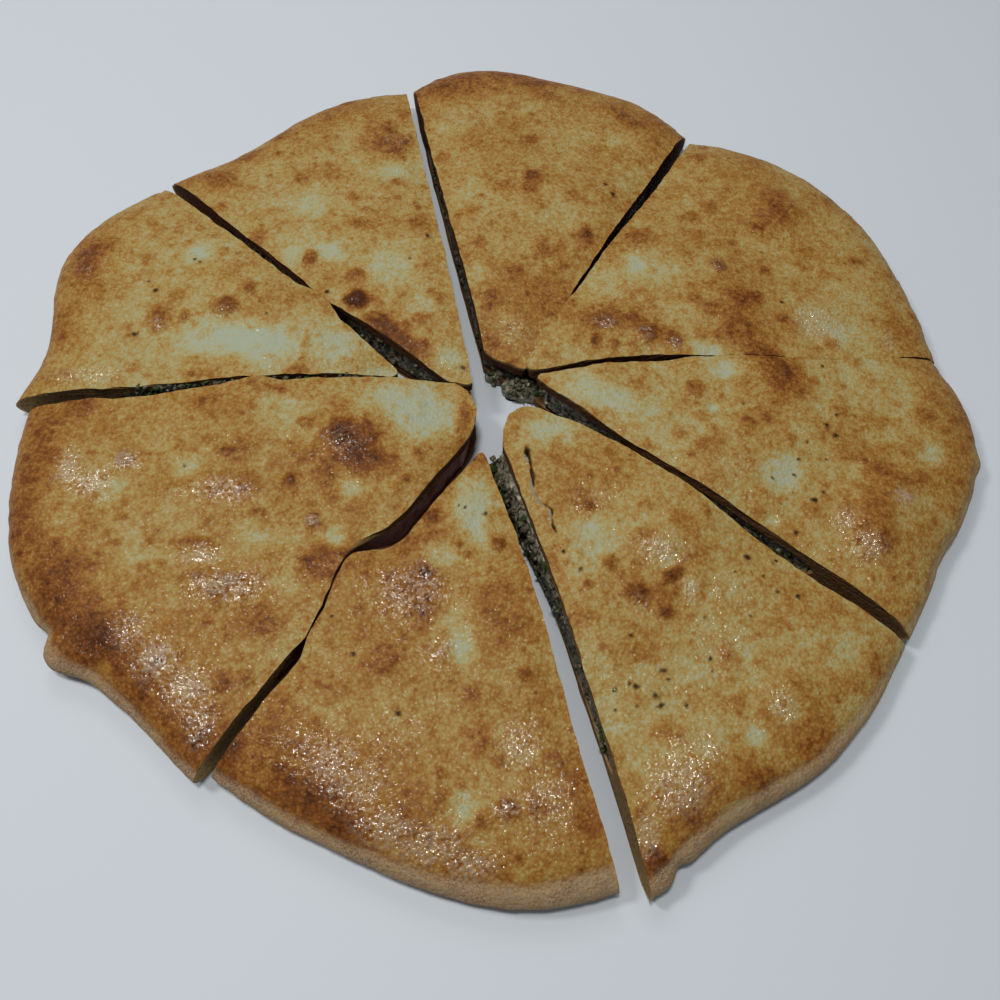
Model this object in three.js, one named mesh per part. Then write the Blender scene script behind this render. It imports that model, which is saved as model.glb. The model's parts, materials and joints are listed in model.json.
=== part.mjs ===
// Kubdari: a round flat bread baked round a meat filling and cut into eight slices that still lie together.
// Each slice is a sheet of dough folded at the rim round its own wedge of filling.
// The filling shows at both cuts and at the tip.
// Millimetres, +Z up, origin on the flat underside at the middle of the bread.

import * as THREE from "three";
import { mergeVertices } from "three/addons/utils/BufferGeometryUtils.js";

// Driving dimensions of the whole bread
const breadRadius = 140;
const crownHeight = 17;
const shoulderHeight = 14;
const edgeHeight = 5;
const rimRoll = 26;
const rimTuck = 7;
const crownRise = 45;
const heaveHeight = 0.7;
const heaveLength = 75;

// Dough and filling
const topCrust = 3.2;
const bottomCrust = 3;
const rimDough = 30;
const fillingRoll = 14;
const fillingShoulder = rimDough + fillingRoll;
const fillingGap = 0.4;
const fillingNose = 25;
const fillingTipInset = 1.5;
const fillingRecess = 0.5;
const fillingCrag = 0.7;
const spillReach = 0.3;

// What the knife left: the crust droops along the cuts and at the tip
const cutDroop = 1.8;
const cutDroopReach = 5;
const tipDroop = 2;
const tipDroopReach = 11;
const noseFade = 8;

// Where the cuts meet, a little off the middle of the bread
const knifeCentre = new THREE.Vector2(0.13, -2.97);

// Faces along each run of the folded dough, and across and through it
const topSteps = 12;
const rollSteps = 4;
const tuckSteps = 3;
const bottomSteps = 8;
const acrossSteps = 8;
const fillingRows = 2;

// The slices, clockwise from the far side. Left and right are as seen from knifeCentre, looking out.
// cuts: directions of the two rim corners, in degrees.
// reach: how far those corners are past breadRadius.
// rim: size of one, two and three waves on the rim between them.
// tip: the two ends of the blunt inner tip, from knifeCentre.
// nose: how far the tip bulges between them.
// left, right: size of one and two waves along each cut, outwards.
// proud: how far the filling spills out of each cut near the tip.
// ear: a bump, or a dent, on one cut, at a share of its length.
const slices = [
  {
    name: "slice_1", cuts: [105.6, 62.5], reach: [0, -7], rim: [9.5, 1.5, 2],
    tip: [[-5, 14], [6.5, 7.8]], nose: 1, left: [0.5, 0], right: [0.2, 0], proud: [0, 0],
  },
  {
    name: "slice_2", cuts: [60.9, 9.6], reach: [-8.6, -2.8], rim: [9, 2, 0],
    tip: [[9, 7.5], [10.5, 5.2]], nose: 1, left: [0.8, 0.8], right: [-0.9, -2], proud: [0, 0],
  },
  {
    name: "slice_3", cuts: [9.2, -31.4], reach: [-3.1, -6.8], rim: [5, 3, 0],
    tip: [[12, 4.4], [12.5, 1.8]], nose: 1, left: [-0.3, 1.6], right: [1.2, 0.6], proud: [0, 0],
  },
  {
    name: "slice_4", cuts: [-32.7, -72.9], reach: [-6.7, 5.3], rim: [-3.6, 2.6, -1],
    tip: [[11, -6.8], [2.2, -21]], nose: 4.8, left: [1.3, 1.8], right: [-1, 0], proud: [0, 4],
  },
  {
    name: "slice_5", cuts: [-75.7, -119.2], reach: [1.8, -7.1], rim: [1, 1.6, 0.5],
    tip: [[-2.6, -24.8], [-5, -24]], nose: 1, left: [0.8, 0.6], right: [-0.4, -0.5], proud: [0, 0],
    ear: { side: "right", at: 0.42, out: 6.5, rise: 0.06, fall: 0.14 },
  },
  {
    name: "slice_6", cuts: [-120.6, -174], reach: [-3.9, -1.4], rim: [3.4, -2.8, -1.2],
    tip: [[-9, -21.5], [-13, 0.3]], nose: 5.5, left: [0.6, 0], right: [0, 2.2], proud: [0, 0],
    ear: { side: "left", at: 0.4, out: -6.6, rise: 0.08, fall: 0.16 },
  },
  {
    name: "slice_7", cuts: [-175.7, -213.6], reach: [3, 1], rim: [4, -5, -1.5],
    tip: [[-32, 1.6], [-30.5, 4]], nose: 1, left: [0, 0], right: [0.2, 0], proud: [0, 0],
  },
  {
    name: "slice_8", cuts: [-215.2, -253.1], reach: [1, -0.8], rim: [-3, -3, 0],
    tip: [[-16.5, 2.5], [-7.8, 1]], nose: 2.5, left: [3.2, 0.5], right: [0, 0], proud: [0, 0],
  },
];

// Broad blisters that lift the crust: centre, reach and height
const blisters = [
  { x: 107, y: -41, reach: 12, height: 2 },
  { x: 89, y: 72, reach: 12, height: 1.8 },
  { x: -41, y: -26, reach: 11, height: 1.4 },
  { x: 73, y: 33, reach: 12, height: 1.2 },
];

const doughFinish = { color: 0xbe9250, roughness: 0.5, metalness: 0 };
const fillingFinish = { color: 0x6b6248, roughness: 0.7, metalness: 0 };

const lerp = THREE.MathUtils.lerp;
const smoothstep = THREE.MathUtils.smoothstep;

// The level direction at an angle in degrees, anticlockwise from +X
function direction(degrees) {
  const angle = THREE.MathUtils.degToRad(degrees);
  return new THREE.Vector2(Math.cos(angle), Math.sin(angle));
}

// The point at a direction and distance from where the cuts meet
function fromCentre(degrees, radius) {
  return knifeCentre.clone().addScaledVector(direction(degrees), radius);
}

// A bump that rises and falls at its own rates
function lopsidedBump(x, { at, out, rise, fall }) {
  const spread = x < at ? rise : fall;
  return out * Math.exp(-(((x - at) / spread) ** 2));
}

// The rim between a slice's two corners: an arc about the middle with the slice's own waves
function rimPoint(slice, across) {
  const waves = slice.rim.map((size, index) => size * Math.sin((index + 1) * Math.PI * across));
  const reach = lerp(slice.reach[0], slice.reach[1], across);
  const degrees = lerp(slice.cuts[0], slice.cuts[1], across);
  return fromCentre(degrees, breadRadius + reach + waves[0] + waves[1] + waves[2]);
}

// One cut edge of a slice in plan, from its tip to its rim corner
function cutPoint(slice, side, along) {
  const index = side === "left" ? 0 : 1;
  const start = new THREE.Vector2(...slice.tip[index]).add(knifeCentre);
  const end = fromCentre(slice.cuts[index], breadRadius + slice.reach[index]);
  const run = end.clone().sub(start);
  const outwards = new THREE.Vector2(-run.y, run.x).normalize();
  if (side === "right") {
    outwards.negate();
  }
  const [single, double] = slice[side];
  let offset = single * Math.sin(Math.PI * along) + double * Math.sin(2 * Math.PI * along);
  if (slice.ear && slice.ear.side === side) {
    offset += lopsidedBump(along, slice.ear);
  }
  return start.addScaledVector(run, along).addScaledVector(outwards, offset);
}

// The plan of a slice: across runs from the left cut to the right one, along from the tip to the rim
function planPoint(slice, across, along) {
  const left = cutPoint(slice, "left", along);
  const right = cutPoint(slice, "right", along);
  const leftCorner = cutPoint(slice, "left", 1);
  const rightCorner = cutPoint(slice, "right", 1);
  const rimBulge = rimPoint(slice, across).sub(leftCorner.lerp(rightCorner, across));
  const outwards = direction((slice.cuts[0] + slice.cuts[1]) / 2);
  const noseBulge = slice.nose * 4 * across * (1 - across) * (1 - along) ** noseFade;
  return left.lerp(right, across).addScaledVector(rimBulge, along).addScaledVector(outwards, -noseBulge);
}

// How far a slice runs from its tip to its rim
function sliceLength(slice, across) {
  return planPoint(slice, across, 0).distanceTo(planPoint(slice, across, 1));
}

// Height of the crust, without its blisters, at a distance in from the rim
function crustHeight(slice, across, inset) {
  const length = sliceLength(slice, across);
  const along = 1 - inset / length;
  const place = planPoint(slice, across, along);
  const width = cutPoint(slice, "left", along).distanceTo(cutPoint(slice, "right", along));
  const fromCut = Math.min(across, 1 - across) * width;
  const rise = smoothstep(inset, rimRoll, rimRoll + crownRise);
  const heaveTurn = (2 * Math.PI) / heaveLength;
  const heave = heaveHeight * Math.sin(heaveTurn * place.x) * Math.cos(heaveTurn * place.y);
  const droop = cutDroop * Math.exp(-((fromCut / cutDroopReach) ** 2));
  const dip = tipDroop * Math.exp(-(((length - inset) / tipDroopReach) ** 2));
  return lerp(shoulderHeight, crownHeight, rise) + heave * rise - droop - dip;
}

// How far the blisters lift the crust at a place
function blisterLift(place) {
  let lift = 0;
  for (const { x, y, reach, height } of blisters) {
    const distance = Math.hypot(place.x - x, place.y - y);
    lift += height * Math.exp(-((distance / reach) ** 2));
  }
  return lift;
}

// A point of a slice at a place across it, a distance in from the rim and a height
function slicePoint(slice, across, inset, height) {
  const place = planPoint(slice, across, 1 - inset / sliceLength(slice, across));
  return new THREE.Vector3(place.x, place.y, height);
}

// The dough's skin along its fold: over the top, round the rim and back under
function outerPoint(slice, across, run, share) {
  const length = sliceLength(slice, across);
  const shoulder = crustHeight(slice, across, rimRoll);
  if (run === "top") {
    const inset = lerp(length, rimRoll, share);
    const place = planPoint(slice, across, 1 - inset / length);
    return slicePoint(slice, across, inset, crustHeight(slice, across, inset) + blisterLift(place));
  }
  if (run === "roll") {
    const turn = ((1 - share) * Math.PI) / 2;
    const place = planPoint(slice, across, 1 - (rimRoll * (1 - Math.cos(turn))) / length);
    const height = lerp(edgeHeight, shoulder + blisterLift(place), Math.sin(turn));
    return slicePoint(slice, across, rimRoll * (1 - Math.cos(turn)), height);
  }
  if (run === "tuck") {
    const turn = (share * Math.PI) / 2;
    return slicePoint(slice, across, rimTuck * (1 - Math.cos(turn)), edgeHeight * (1 - Math.sin(turn)));
  }
  return slicePoint(slice, across, lerp(rimTuck, length, share), 0);
}

// The dough's inner face along the same fold, round the filling
function innerPoint(slice, across, run, share) {
  const length = sliceLength(slice, across);
  const ceiling = crustHeight(slice, across, fillingShoulder) - topCrust;
  const middle = (ceiling + bottomCrust) / 2;
  if (run === "top") {
    const inset = lerp(length, fillingShoulder, share);
    return slicePoint(slice, across, inset, crustHeight(slice, across, inset) - topCrust);
  }
  if (run === "roll") {
    const turn = ((1 - share) * Math.PI) / 2;
    const inset = rimDough + fillingRoll * (1 - Math.cos(turn));
    return slicePoint(slice, across, inset, lerp(middle, ceiling, Math.sin(turn)));
  }
  if (run === "tuck") {
    const turn = (share * Math.PI) / 2;
    const inset = rimDough + fillingRoll * (1 - Math.cos(turn));
    return slicePoint(slice, across, inset, lerp(middle, bottomCrust, Math.sin(turn)));
  }
  return slicePoint(slice, across, lerp(fillingShoulder, length, share), bottomCrust);
}

// Even steps drawn together at both ends, for the lines across a slice
function gathered(share) {
  return (1 - Math.cos(Math.PI * share)) / 2;
}

// Which run of the fold a step along it is on, and how far along that run
function foldStation(step) {
  const runs = [["top", topSteps], ["roll", rollSteps], ["tuck", tuckSteps], ["bottom", bottomSteps]];
  let left = step;
  for (const [run, steps] of runs) {
    if (left <= steps) {
      return { run, share: left / steps };
    }
    left -= steps;
  }
  return { run: "bottom", share: 1 };
}

// A closed block whose points are moved to where place(x, y, z) puts them, x, y and z being shares of it
function shapedBlock(stepsX, stepsY, stepsZ, place) {
  const block = new THREE.BoxGeometry(1, 1, 1, stepsX, stepsY, stepsZ);
  block.deleteAttribute("normal");
  block.deleteAttribute("uv");
  const geometry = mergeVertices(block);
  const points = geometry.getAttribute("position");
  for (let index = 0; index < points.count; index += 1) {
    const moved = place(points.getX(index) + 0.5, points.getY(index) + 0.5, points.getZ(index) + 0.5);
    points.setXYZ(index, moved.x, moved.y, moved.z);
  }
  geometry.computeVertexNormals();
  return geometry;
}

// The dough of a slice, one sheet folded at the rim
function doughMesh(slice) {
  const foldSteps = topSteps + rollSteps + tuckSteps + bottomSteps;
  const geometry = shapedBlock(foldSteps, acrossSteps, 1, (x, y, z) => {
    const { run, share } = foldStation(Math.round(x * foldSteps));
    const across = gathered(y);
    return outerPoint(slice, across, run, share).lerp(innerPoint(slice, across, run, share), z);
  });
  return namedMesh(`${slice.name}_dough`, geometry, doughFinish);
}

// A steady value from -1 to 1 for a crag of the filling, different at each place
function cragAt(place) {
  const mixed = Math.sin(place.x * 1.7 + place.y * 2.3 + place.z * 3.1) * 43.7;
  return 2 * (mixed - Math.floor(mixed)) - 1;
}

// The filling of a slice: it fills the fold, has a blunt end towards the rim and is craggy at the cuts
function fillingMesh(slice) {
  const alongSteps = topSteps + rollSteps;
  const geometry = shapedBlock(acrossSteps, alongSteps, fillingRows, (x, y, z) => {
    const across = gathered(x);
    const step = Math.round(y * alongSteps);
    const length = sliceLength(slice, across);
    const rolled = Math.max(step - topSteps, 0) / rollSteps;
    const turn = THREE.MathUtils.degToRad(lerp(90, fillingNose, rolled));
    const onRoll = rimDough + fillingGap + fillingRoll * (1 - Math.cos(turn));
    const onTop = lerp(length - fillingTipInset, fillingShoulder, step / topSteps);
    const inset = step < topSteps ? onTop : onRoll;
    const ceiling = crustHeight(slice, across, Math.max(inset, fillingShoulder)) - topCrust - fillingGap;
    const floor = bottomCrust + fillingGap;
    const middle = (ceiling + floor) / 2;
    const top = lerp(middle, ceiling, Math.sin(turn));
    const bottom = lerp(middle, floor, Math.sin(turn));
    const point = slicePoint(slice, across, inset, lerp(bottom, top, z));
    if (x === 0 || x === 1) {
      const side = x === 0 ? "left" : "right";
      const along = 1 - inset / length;
      const inwards = cutPoint(slice, x === 0 ? "right" : "left", along);
      inwards.sub(cutPoint(slice, side, along)).normalize();
      const crag = z > 0 && z < 1 ? fillingCrag * cragAt(point) : 0;
      const spill = slice.proud[x] * Math.exp(-((along / spillReach) ** 2));
      const standing = spill + crag - fillingRecess;
      point.x -= inwards.x * standing;
      point.y -= inwards.y * standing;
    }
    return point;
  });
  return namedMesh(`${slice.name}_filling`, geometry, fillingFinish);
}

// A mesh with its name and finish
function namedMesh(name, geometry, finish) {
  const mesh = new THREE.Mesh(geometry, new THREE.MeshStandardMaterial(finish));
  mesh.name = name;
  return mesh;
}

const kubdari = new THREE.Group();
for (const slice of slices) {
  kubdari.add(doughMesh(slice), fillingMesh(slice));
}

export default kubdari;
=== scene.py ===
"""Kubdari: the looks of a round bread baked round a meat filling, cut into slices that lie together.

Sizes are in millimetres and become metres only where a mesh, lamp or camera is made.
"""

from __future__ import annotations

import itertools
import json
import logging
import math
from dataclasses import dataclass
from enum import Enum

import bpy
import numpy as np
from mathutils import Matrix

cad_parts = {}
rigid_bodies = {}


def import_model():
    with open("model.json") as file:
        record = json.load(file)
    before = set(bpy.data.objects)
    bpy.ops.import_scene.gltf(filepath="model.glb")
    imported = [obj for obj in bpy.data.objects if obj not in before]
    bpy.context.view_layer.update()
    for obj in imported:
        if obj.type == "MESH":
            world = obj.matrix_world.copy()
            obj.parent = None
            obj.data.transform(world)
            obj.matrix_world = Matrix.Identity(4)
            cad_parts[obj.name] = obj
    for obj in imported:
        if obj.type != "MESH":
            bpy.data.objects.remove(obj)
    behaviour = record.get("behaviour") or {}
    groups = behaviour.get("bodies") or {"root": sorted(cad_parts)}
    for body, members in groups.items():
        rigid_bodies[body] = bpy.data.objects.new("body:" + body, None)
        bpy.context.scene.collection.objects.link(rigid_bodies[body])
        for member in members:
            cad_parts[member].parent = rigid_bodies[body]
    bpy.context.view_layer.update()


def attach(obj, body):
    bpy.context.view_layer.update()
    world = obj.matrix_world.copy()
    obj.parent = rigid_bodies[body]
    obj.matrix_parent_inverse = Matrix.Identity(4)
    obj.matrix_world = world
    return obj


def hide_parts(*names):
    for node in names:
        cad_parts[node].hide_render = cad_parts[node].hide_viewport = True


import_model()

LOG = logging.getLogger("kubdari")
MM = 0.001

Pair = tuple[float, float]
Triple = tuple[float, float, float]
Array = np.ndarray
Tree = bpy.types.NodeTree
Socket = bpy.types.NodeSocket


def linear(hex_colour: str) -> tuple[float, float, float, float]:
    """Turn an sRGB hex colour into linear red, green, blue and full alpha.

    Args:
        hex_colour: six hex digits after a hash sign.

    Returns:
        The four linear values.
    """
    values = [int(hex_colour[start:start + 2], 16) / 255 for start in (1, 3, 5)]
    curve = [v / 12.92 if v <= 0.04045 else ((v + 0.055) / 1.055) ** 2.4 for v in values]
    return (curve[0], curve[1], curve[2], 1.0)


def lerp(start: Array | float, end: Array | float, share: Array | float) -> Array | float:
    """Return the value a share of the way from start to end."""
    return start + (end - start) * share


def smoothstep(value: Array, low: Array | float, high: Array | float) -> Array:
    """Return an eased rise from 0 at low to 1 at high."""
    share = np.clip((value - low) / (high - low), 0.0, 1.0)
    return share * share * (3.0 - 2.0 * share)


def direction(degrees: Array | float) -> Array:
    """Return the level direction at an angle in degrees, anticlockwise from +X."""
    angle = np.radians(degrees)
    return np.stack((np.cos(angle), np.sin(angle)), axis=-1)


def through_three(values: Triple, share: Array) -> Array:
    """Return a smooth curve through three values, given at shares 0, a half and 1."""
    first, middle, last = values
    return lerp(first, last, share) + (middle - (first + last) / 2) * 4 * share * (1 - share)


def lattice_value(cells: Array, seed: int) -> Array:
    """Give every whole-numbered cell its own steady value.

    Args:
        cells: whole numbers, with the coordinates along the last axis.
        seed: picks another set of values.

    Returns:
        A value from 0 to 1 for each cell.
    """
    mixed = np.full(cells.shape[:-1], seed * 2654435761, dtype=np.int64)
    for axis, prime in zip(range(cells.shape[-1]), (73856093, 19349663, 83492791)):
        mixed ^= cells[..., axis] * prime
    mixed = (mixed ^ (mixed >> 13)) * 1274126177
    mixed ^= mixed >> 16
    return (mixed & 0xFFFFFF) / 0xFFFFFF


def smooth_noise(points: Array, wavelength: float, seed: int) -> Array:
    """Return noise from -1 to 1 whose swells are about a wavelength apart.

    Args:
        points: places in millimetres, with the coordinates along the last axis.
        wavelength: size of a swell, in millimetres.
        seed: picks another pattern.

    Returns:
        The noise at each point.
    """
    scaled = points / wavelength
    base = np.floor(scaled).astype(np.int64)
    share = scaled - base
    ease = share * share * (3.0 - 2.0 * share)
    total = np.zeros(points.shape[:-1])
    for corner in itertools.product((0, 1), repeat=points.shape[-1]):
        weight = np.prod(np.where(corner, ease, 1.0 - ease), axis=-1)
        total += weight * lattice_value(base + np.array(corner), seed)
    return 2.0 * total - 1.0


def rough_noise(points: Array, wavelength: float, seed: int) -> Array:
    """Return three layers of noise, each half the size and strength of the one before it."""
    shares = [1 / 2 ** k for k in range(3)]
    layers = [smooth_noise(points, wavelength * shares[k], seed + k) * shares[k] for k in range(3)]
    return sum(layers) / sum(shares)


@dataclass(frozen=True)
class Unevenness:
    """Noise of a given strength, in swells of a given length in millimetres, in three layers or one."""

    strength: float
    length: float
    seed: int
    layered: bool = True

    def at(self, points: Array) -> Array:
        """Return the noise at points in millimetres."""
        noise = rough_noise if self.layered else smooth_noise
        return self.strength * noise(points, self.length, self.seed)


class Side(Enum):
    """The two cuts of a slice, as seen from the middle of the bread looking out."""

    LEFT = 0
    RIGHT = 1


class Run(Enum):
    """The four stretches of the folded dough, from the tip over the top and back under."""

    TOP = "top"
    ROLL = "roll"
    TUCK = "tuck"
    BOTTOM = "bottom"


class Slot(Enum):
    """The record's material slots."""

    CRUST = "crust"
    FILLING = "filling"


@dataclass(frozen=True)
class BreadSizes:
    """Driving sizes of the whole bread, the same as the solids' but for a gentler droop at the cuts."""

    radius: float = 140.0
    crown_height: float = 17.0
    shoulder_height: float = 14.0
    edge_height: float = 5.0
    rim_roll: float = 26.0
    rim_tuck: float = 7.0
    crown_rise: float = 45.0
    heave_height: float = 0.7
    heave_length: float = 75.0
    top_crust: float = 3.2
    bottom_crust: float = 3.0
    rim_dough: float = 30.0
    filling_roll: float = 14.0
    filling_gap: float = 0.4
    filling_nose: float = 25.0
    filling_recess: float = 0.5
    spill_reach: float = 0.3
    spill_taper: float = 0.7
    cut_droop: float = 0.9
    cut_droop_reach: float = 5.0
    tip_droop_reach: float = 11.0
    nose_fade: float = 8.0
    knife_centre: Pair = (0.13, -2.97)

    @property
    def filling_shoulder(self) -> float:
        """Distance from the rim at which the filling is at its full height."""
        return self.rim_dough + self.filling_roll


SIZES = BreadSizes()


@dataclass(frozen=True)
class Ear:
    """A bump, or a dent, on one cut, at a share of its length."""

    side: Side
    at: float
    out: float
    rise: float
    fall: float

    def offset(self, along: Array) -> Array:
        """Return how far the cut stands out at shares of its length."""
        spread = np.where(along < self.at, self.rise, self.fall)
        return self.out * np.exp(-(((along - self.at) / spread) ** 2))


@dataclass(frozen=True)
class EdgeFit:
    """A stretch of one cut where the crust bulges out over the cut, up to the next slice.

    start and end are shares of the cut's length, out is how far the crust is pushed at each of them,
    lift how far it is raised and reach how far in from the cut that is felt.
    """

    side: Side
    start: float
    end: float
    out: Pair
    lift: float = 0.0
    reach: float = 6.0
    fade: float = 0.04

    def weight(self, along: Array, from_cut: Array) -> Array:
        """Return how strongly the bulge is felt, from 0 to 1."""
        begun = smoothstep(along, self.start - self.fade, self.start + self.fade)
        ended = smoothstep(along, self.end - self.fade, self.end + self.fade)
        return begun * (1 - ended) * np.exp(-((from_cut / self.reach) ** 2))

    def push(self, along: Array) -> Array:
        """Return how far the crust is pushed out at shares of the cut's length."""
        return lerp(*self.out, np.clip((along - self.start) / (self.end - self.start), 0, 1))


@dataclass(frozen=True)
class RimLump:
    """A lump, or a notch, low on a slice's rim, at a share of the way across it."""

    across: float
    width: float
    out: float


@dataclass(frozen=True)
class SlicePlan:
    """The plan of one slice and what its crust and its cuts look like.

    cuts are the directions of the two rim corners in degrees and reach their distance past the
    bread's radius. rim holds one, two and three waves on the rim, tip the two ends of the blunt tip,
    nose how far the tip is rounded out, and left and right one and two waves along the cuts. toast is
    how brown the crust is, rim_toast how much browner the rim is and flour_band how wide its floury
    edge is, the last two at the left corner, the middle and the right corner. spill is how far the
    filling bulges out of the left and the right cut near the tip, and smear how far up over the crust's
    cut its bits are dragged. tip_inset is how far the filling stops short of the tip and tip_droop how
    far the crust sinks there. ear, lumps and fits are bumps of a cut, of the rim and of the crust's
    edges. left_shade and right_shade are how dark the cuts are painted with shade, for the shadowed
    gaps between slices, at the tip and at the rim, and crumb_share is how many loose bits the left and
    the right cut show; a cut that shows none has painted shade on its filling.
    """

    number: int
    cuts: Pair
    reach: Pair
    rim: Triple
    tip: tuple[Pair, Pair]
    nose: float
    left: Pair
    right: Pair
    toast: float
    rim_toast: Triple
    flour_band: Triple
    spill: Pair = (0.0, 0.0)
    smear: Pair = (0.0, 0.0)
    tip_inset: float = 1.5
    tip_droop: float = 2.0
    ear: Ear | None = None
    lumps: tuple[RimLump, ...] = ()
    fits: tuple[EdgeFit, ...] = ()
    left_shade: Pair = (1.0, 1.0)
    right_shade: Pair = (1.0, 1.0)
    crumb_share: Pair = (1.0, 1.0)

    def corner(self, side: Side) -> Array:
        """Return the rim corner at one cut."""
        radius = SIZES.radius + self.reach[side.value]
        return np.array(SIZES.knife_centre) + radius * direction(self.cuts[side.value])

    def rim_point(self, across: Array) -> Array:
        """Return points of the rim at shares of the way across."""
        waves = sum(size * np.sin((k + 1) * np.pi * across) for k, size in enumerate(self.rim))
        radius = SIZES.radius + lerp(*self.reach, across) + waves
        return np.array(SIZES.knife_centre) + radius[..., None] * direction(lerp(*self.cuts, across))

    def outwards(self, side: Side) -> Array:
        """Return the level direction that a cut faces."""
        run = self.corner(side) - self.tip_end(side)
        sign = 1.0 if side is Side.LEFT else -1.0
        return sign * np.array((-run[1], run[0])) / np.hypot(*run)

    def tip_end(self, side: Side) -> Array:
        """Return the inner end of one cut."""
        return np.array(self.tip[side.value]) + np.array(SIZES.knife_centre)

    def cut_point(self, side: Side, along: Array) -> Array:
        """Return points of one cut in plan.

        Args:
            side: which cut.
            along: shares of the way from the tip to the rim.

        Returns:
            Level points in millimetres.
        """
        start = self.tip_end(side)
        run = self.corner(side) - start
        single, double = self.left if side is Side.LEFT else self.right
        offset = single * np.sin(np.pi * along) + double * np.sin(2 * np.pi * along)
        if self.ear is not None and self.ear.side is side:
            offset = offset + self.ear.offset(along)
        return start + along[..., None] * run + offset[..., None] * self.outwards(side)

    def spilled(self, side: Side, along: Array | float, up: Array | float) -> Array | float:
        """Return how far the filling has spilled out of a cut.

        Args:
            side: which cut.
            along: shares of the way from the tip to the rim.
            up: shares of the filling's height.

        Returns:
            Distances in millimetres, less towards the top.
        """
        felt = np.exp(-((along / SIZES.spill_reach) ** 2))
        return self.spill[side.value] * felt * (1 - SIZES.spill_taper * up ** 3)

    def plan_point(self, across: Array, along: Array) -> Array:
        """Return points of the slice in plan.

        Args:
            across: shares of the way from the left cut to the right one.
            along: shares of the way from the tip to the rim.

        Returns:
            Level points in millimetres.
        """
        left = self.cut_point(Side.LEFT, along)
        right = self.cut_point(Side.RIGHT, along)
        share = across[..., None]
        chord = lerp(self.corner(Side.LEFT), self.corner(Side.RIGHT), share)
        rim_bulge = self.rim_point(across) - chord
        nose_bulge = self.nose * 4 * across * (1 - across) * np.clip(1 - along, 0, 1) ** SIZES.nose_fade
        outwards = direction(sum(self.cuts) / 2)
        straight = lerp(left, right, share)
        return straight + rim_bulge * along[..., None] - nose_bulge[..., None] * outwards

    def length(self, across: Array) -> Array:
        """Return how far the slice runs from its tip to its rim."""
        rim = self.plan_point(across, np.ones_like(across))
        tip = self.plan_point(across, np.zeros_like(across))
        return np.linalg.norm(rim - tip, axis=-1)

    def width(self, along: Array) -> Array:
        """Return how far apart the two cuts are at shares of the way from the tip to the rim."""
        gap = self.cut_point(Side.LEFT, along) - self.cut_point(Side.RIGHT, along)
        return np.linalg.norm(gap, axis=-1)

    def place(self, across: Array, inset: Array) -> Array:
        """Return level points at shares across and distances in from the rim."""
        return self.plan_point(across, 1 - inset / self.length(across))

    def crust_height(self, across: Array, inset: Array) -> Array:
        """Return the height of the crust, without its blisters.

        Args:
            across: shares of the way from the left cut to the right one.
            inset: distances in from the rim.

        Returns:
            Heights in millimetres.
        """
        length = self.length(across)
        along = 1 - inset / length
        place = self.plan_point(across, along)
        from_cut = np.minimum(across, 1 - across) * self.width(along)
        rise = smoothstep(inset, SIZES.rim_roll, SIZES.rim_roll + SIZES.crown_rise)
        turn = 2 * np.pi / SIZES.heave_length
        heave = SIZES.heave_height * np.sin(turn * place[..., 0]) * np.cos(turn * place[..., 1])
        droop = SIZES.cut_droop * np.exp(-((from_cut / SIZES.cut_droop_reach) ** 2))
        dip = self.tip_droop * np.exp(-(((length - inset) / SIZES.tip_droop_reach) ** 2))
        return lerp(SIZES.shoulder_height, SIZES.crown_height, rise) + heave * rise - droop - dip


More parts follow.
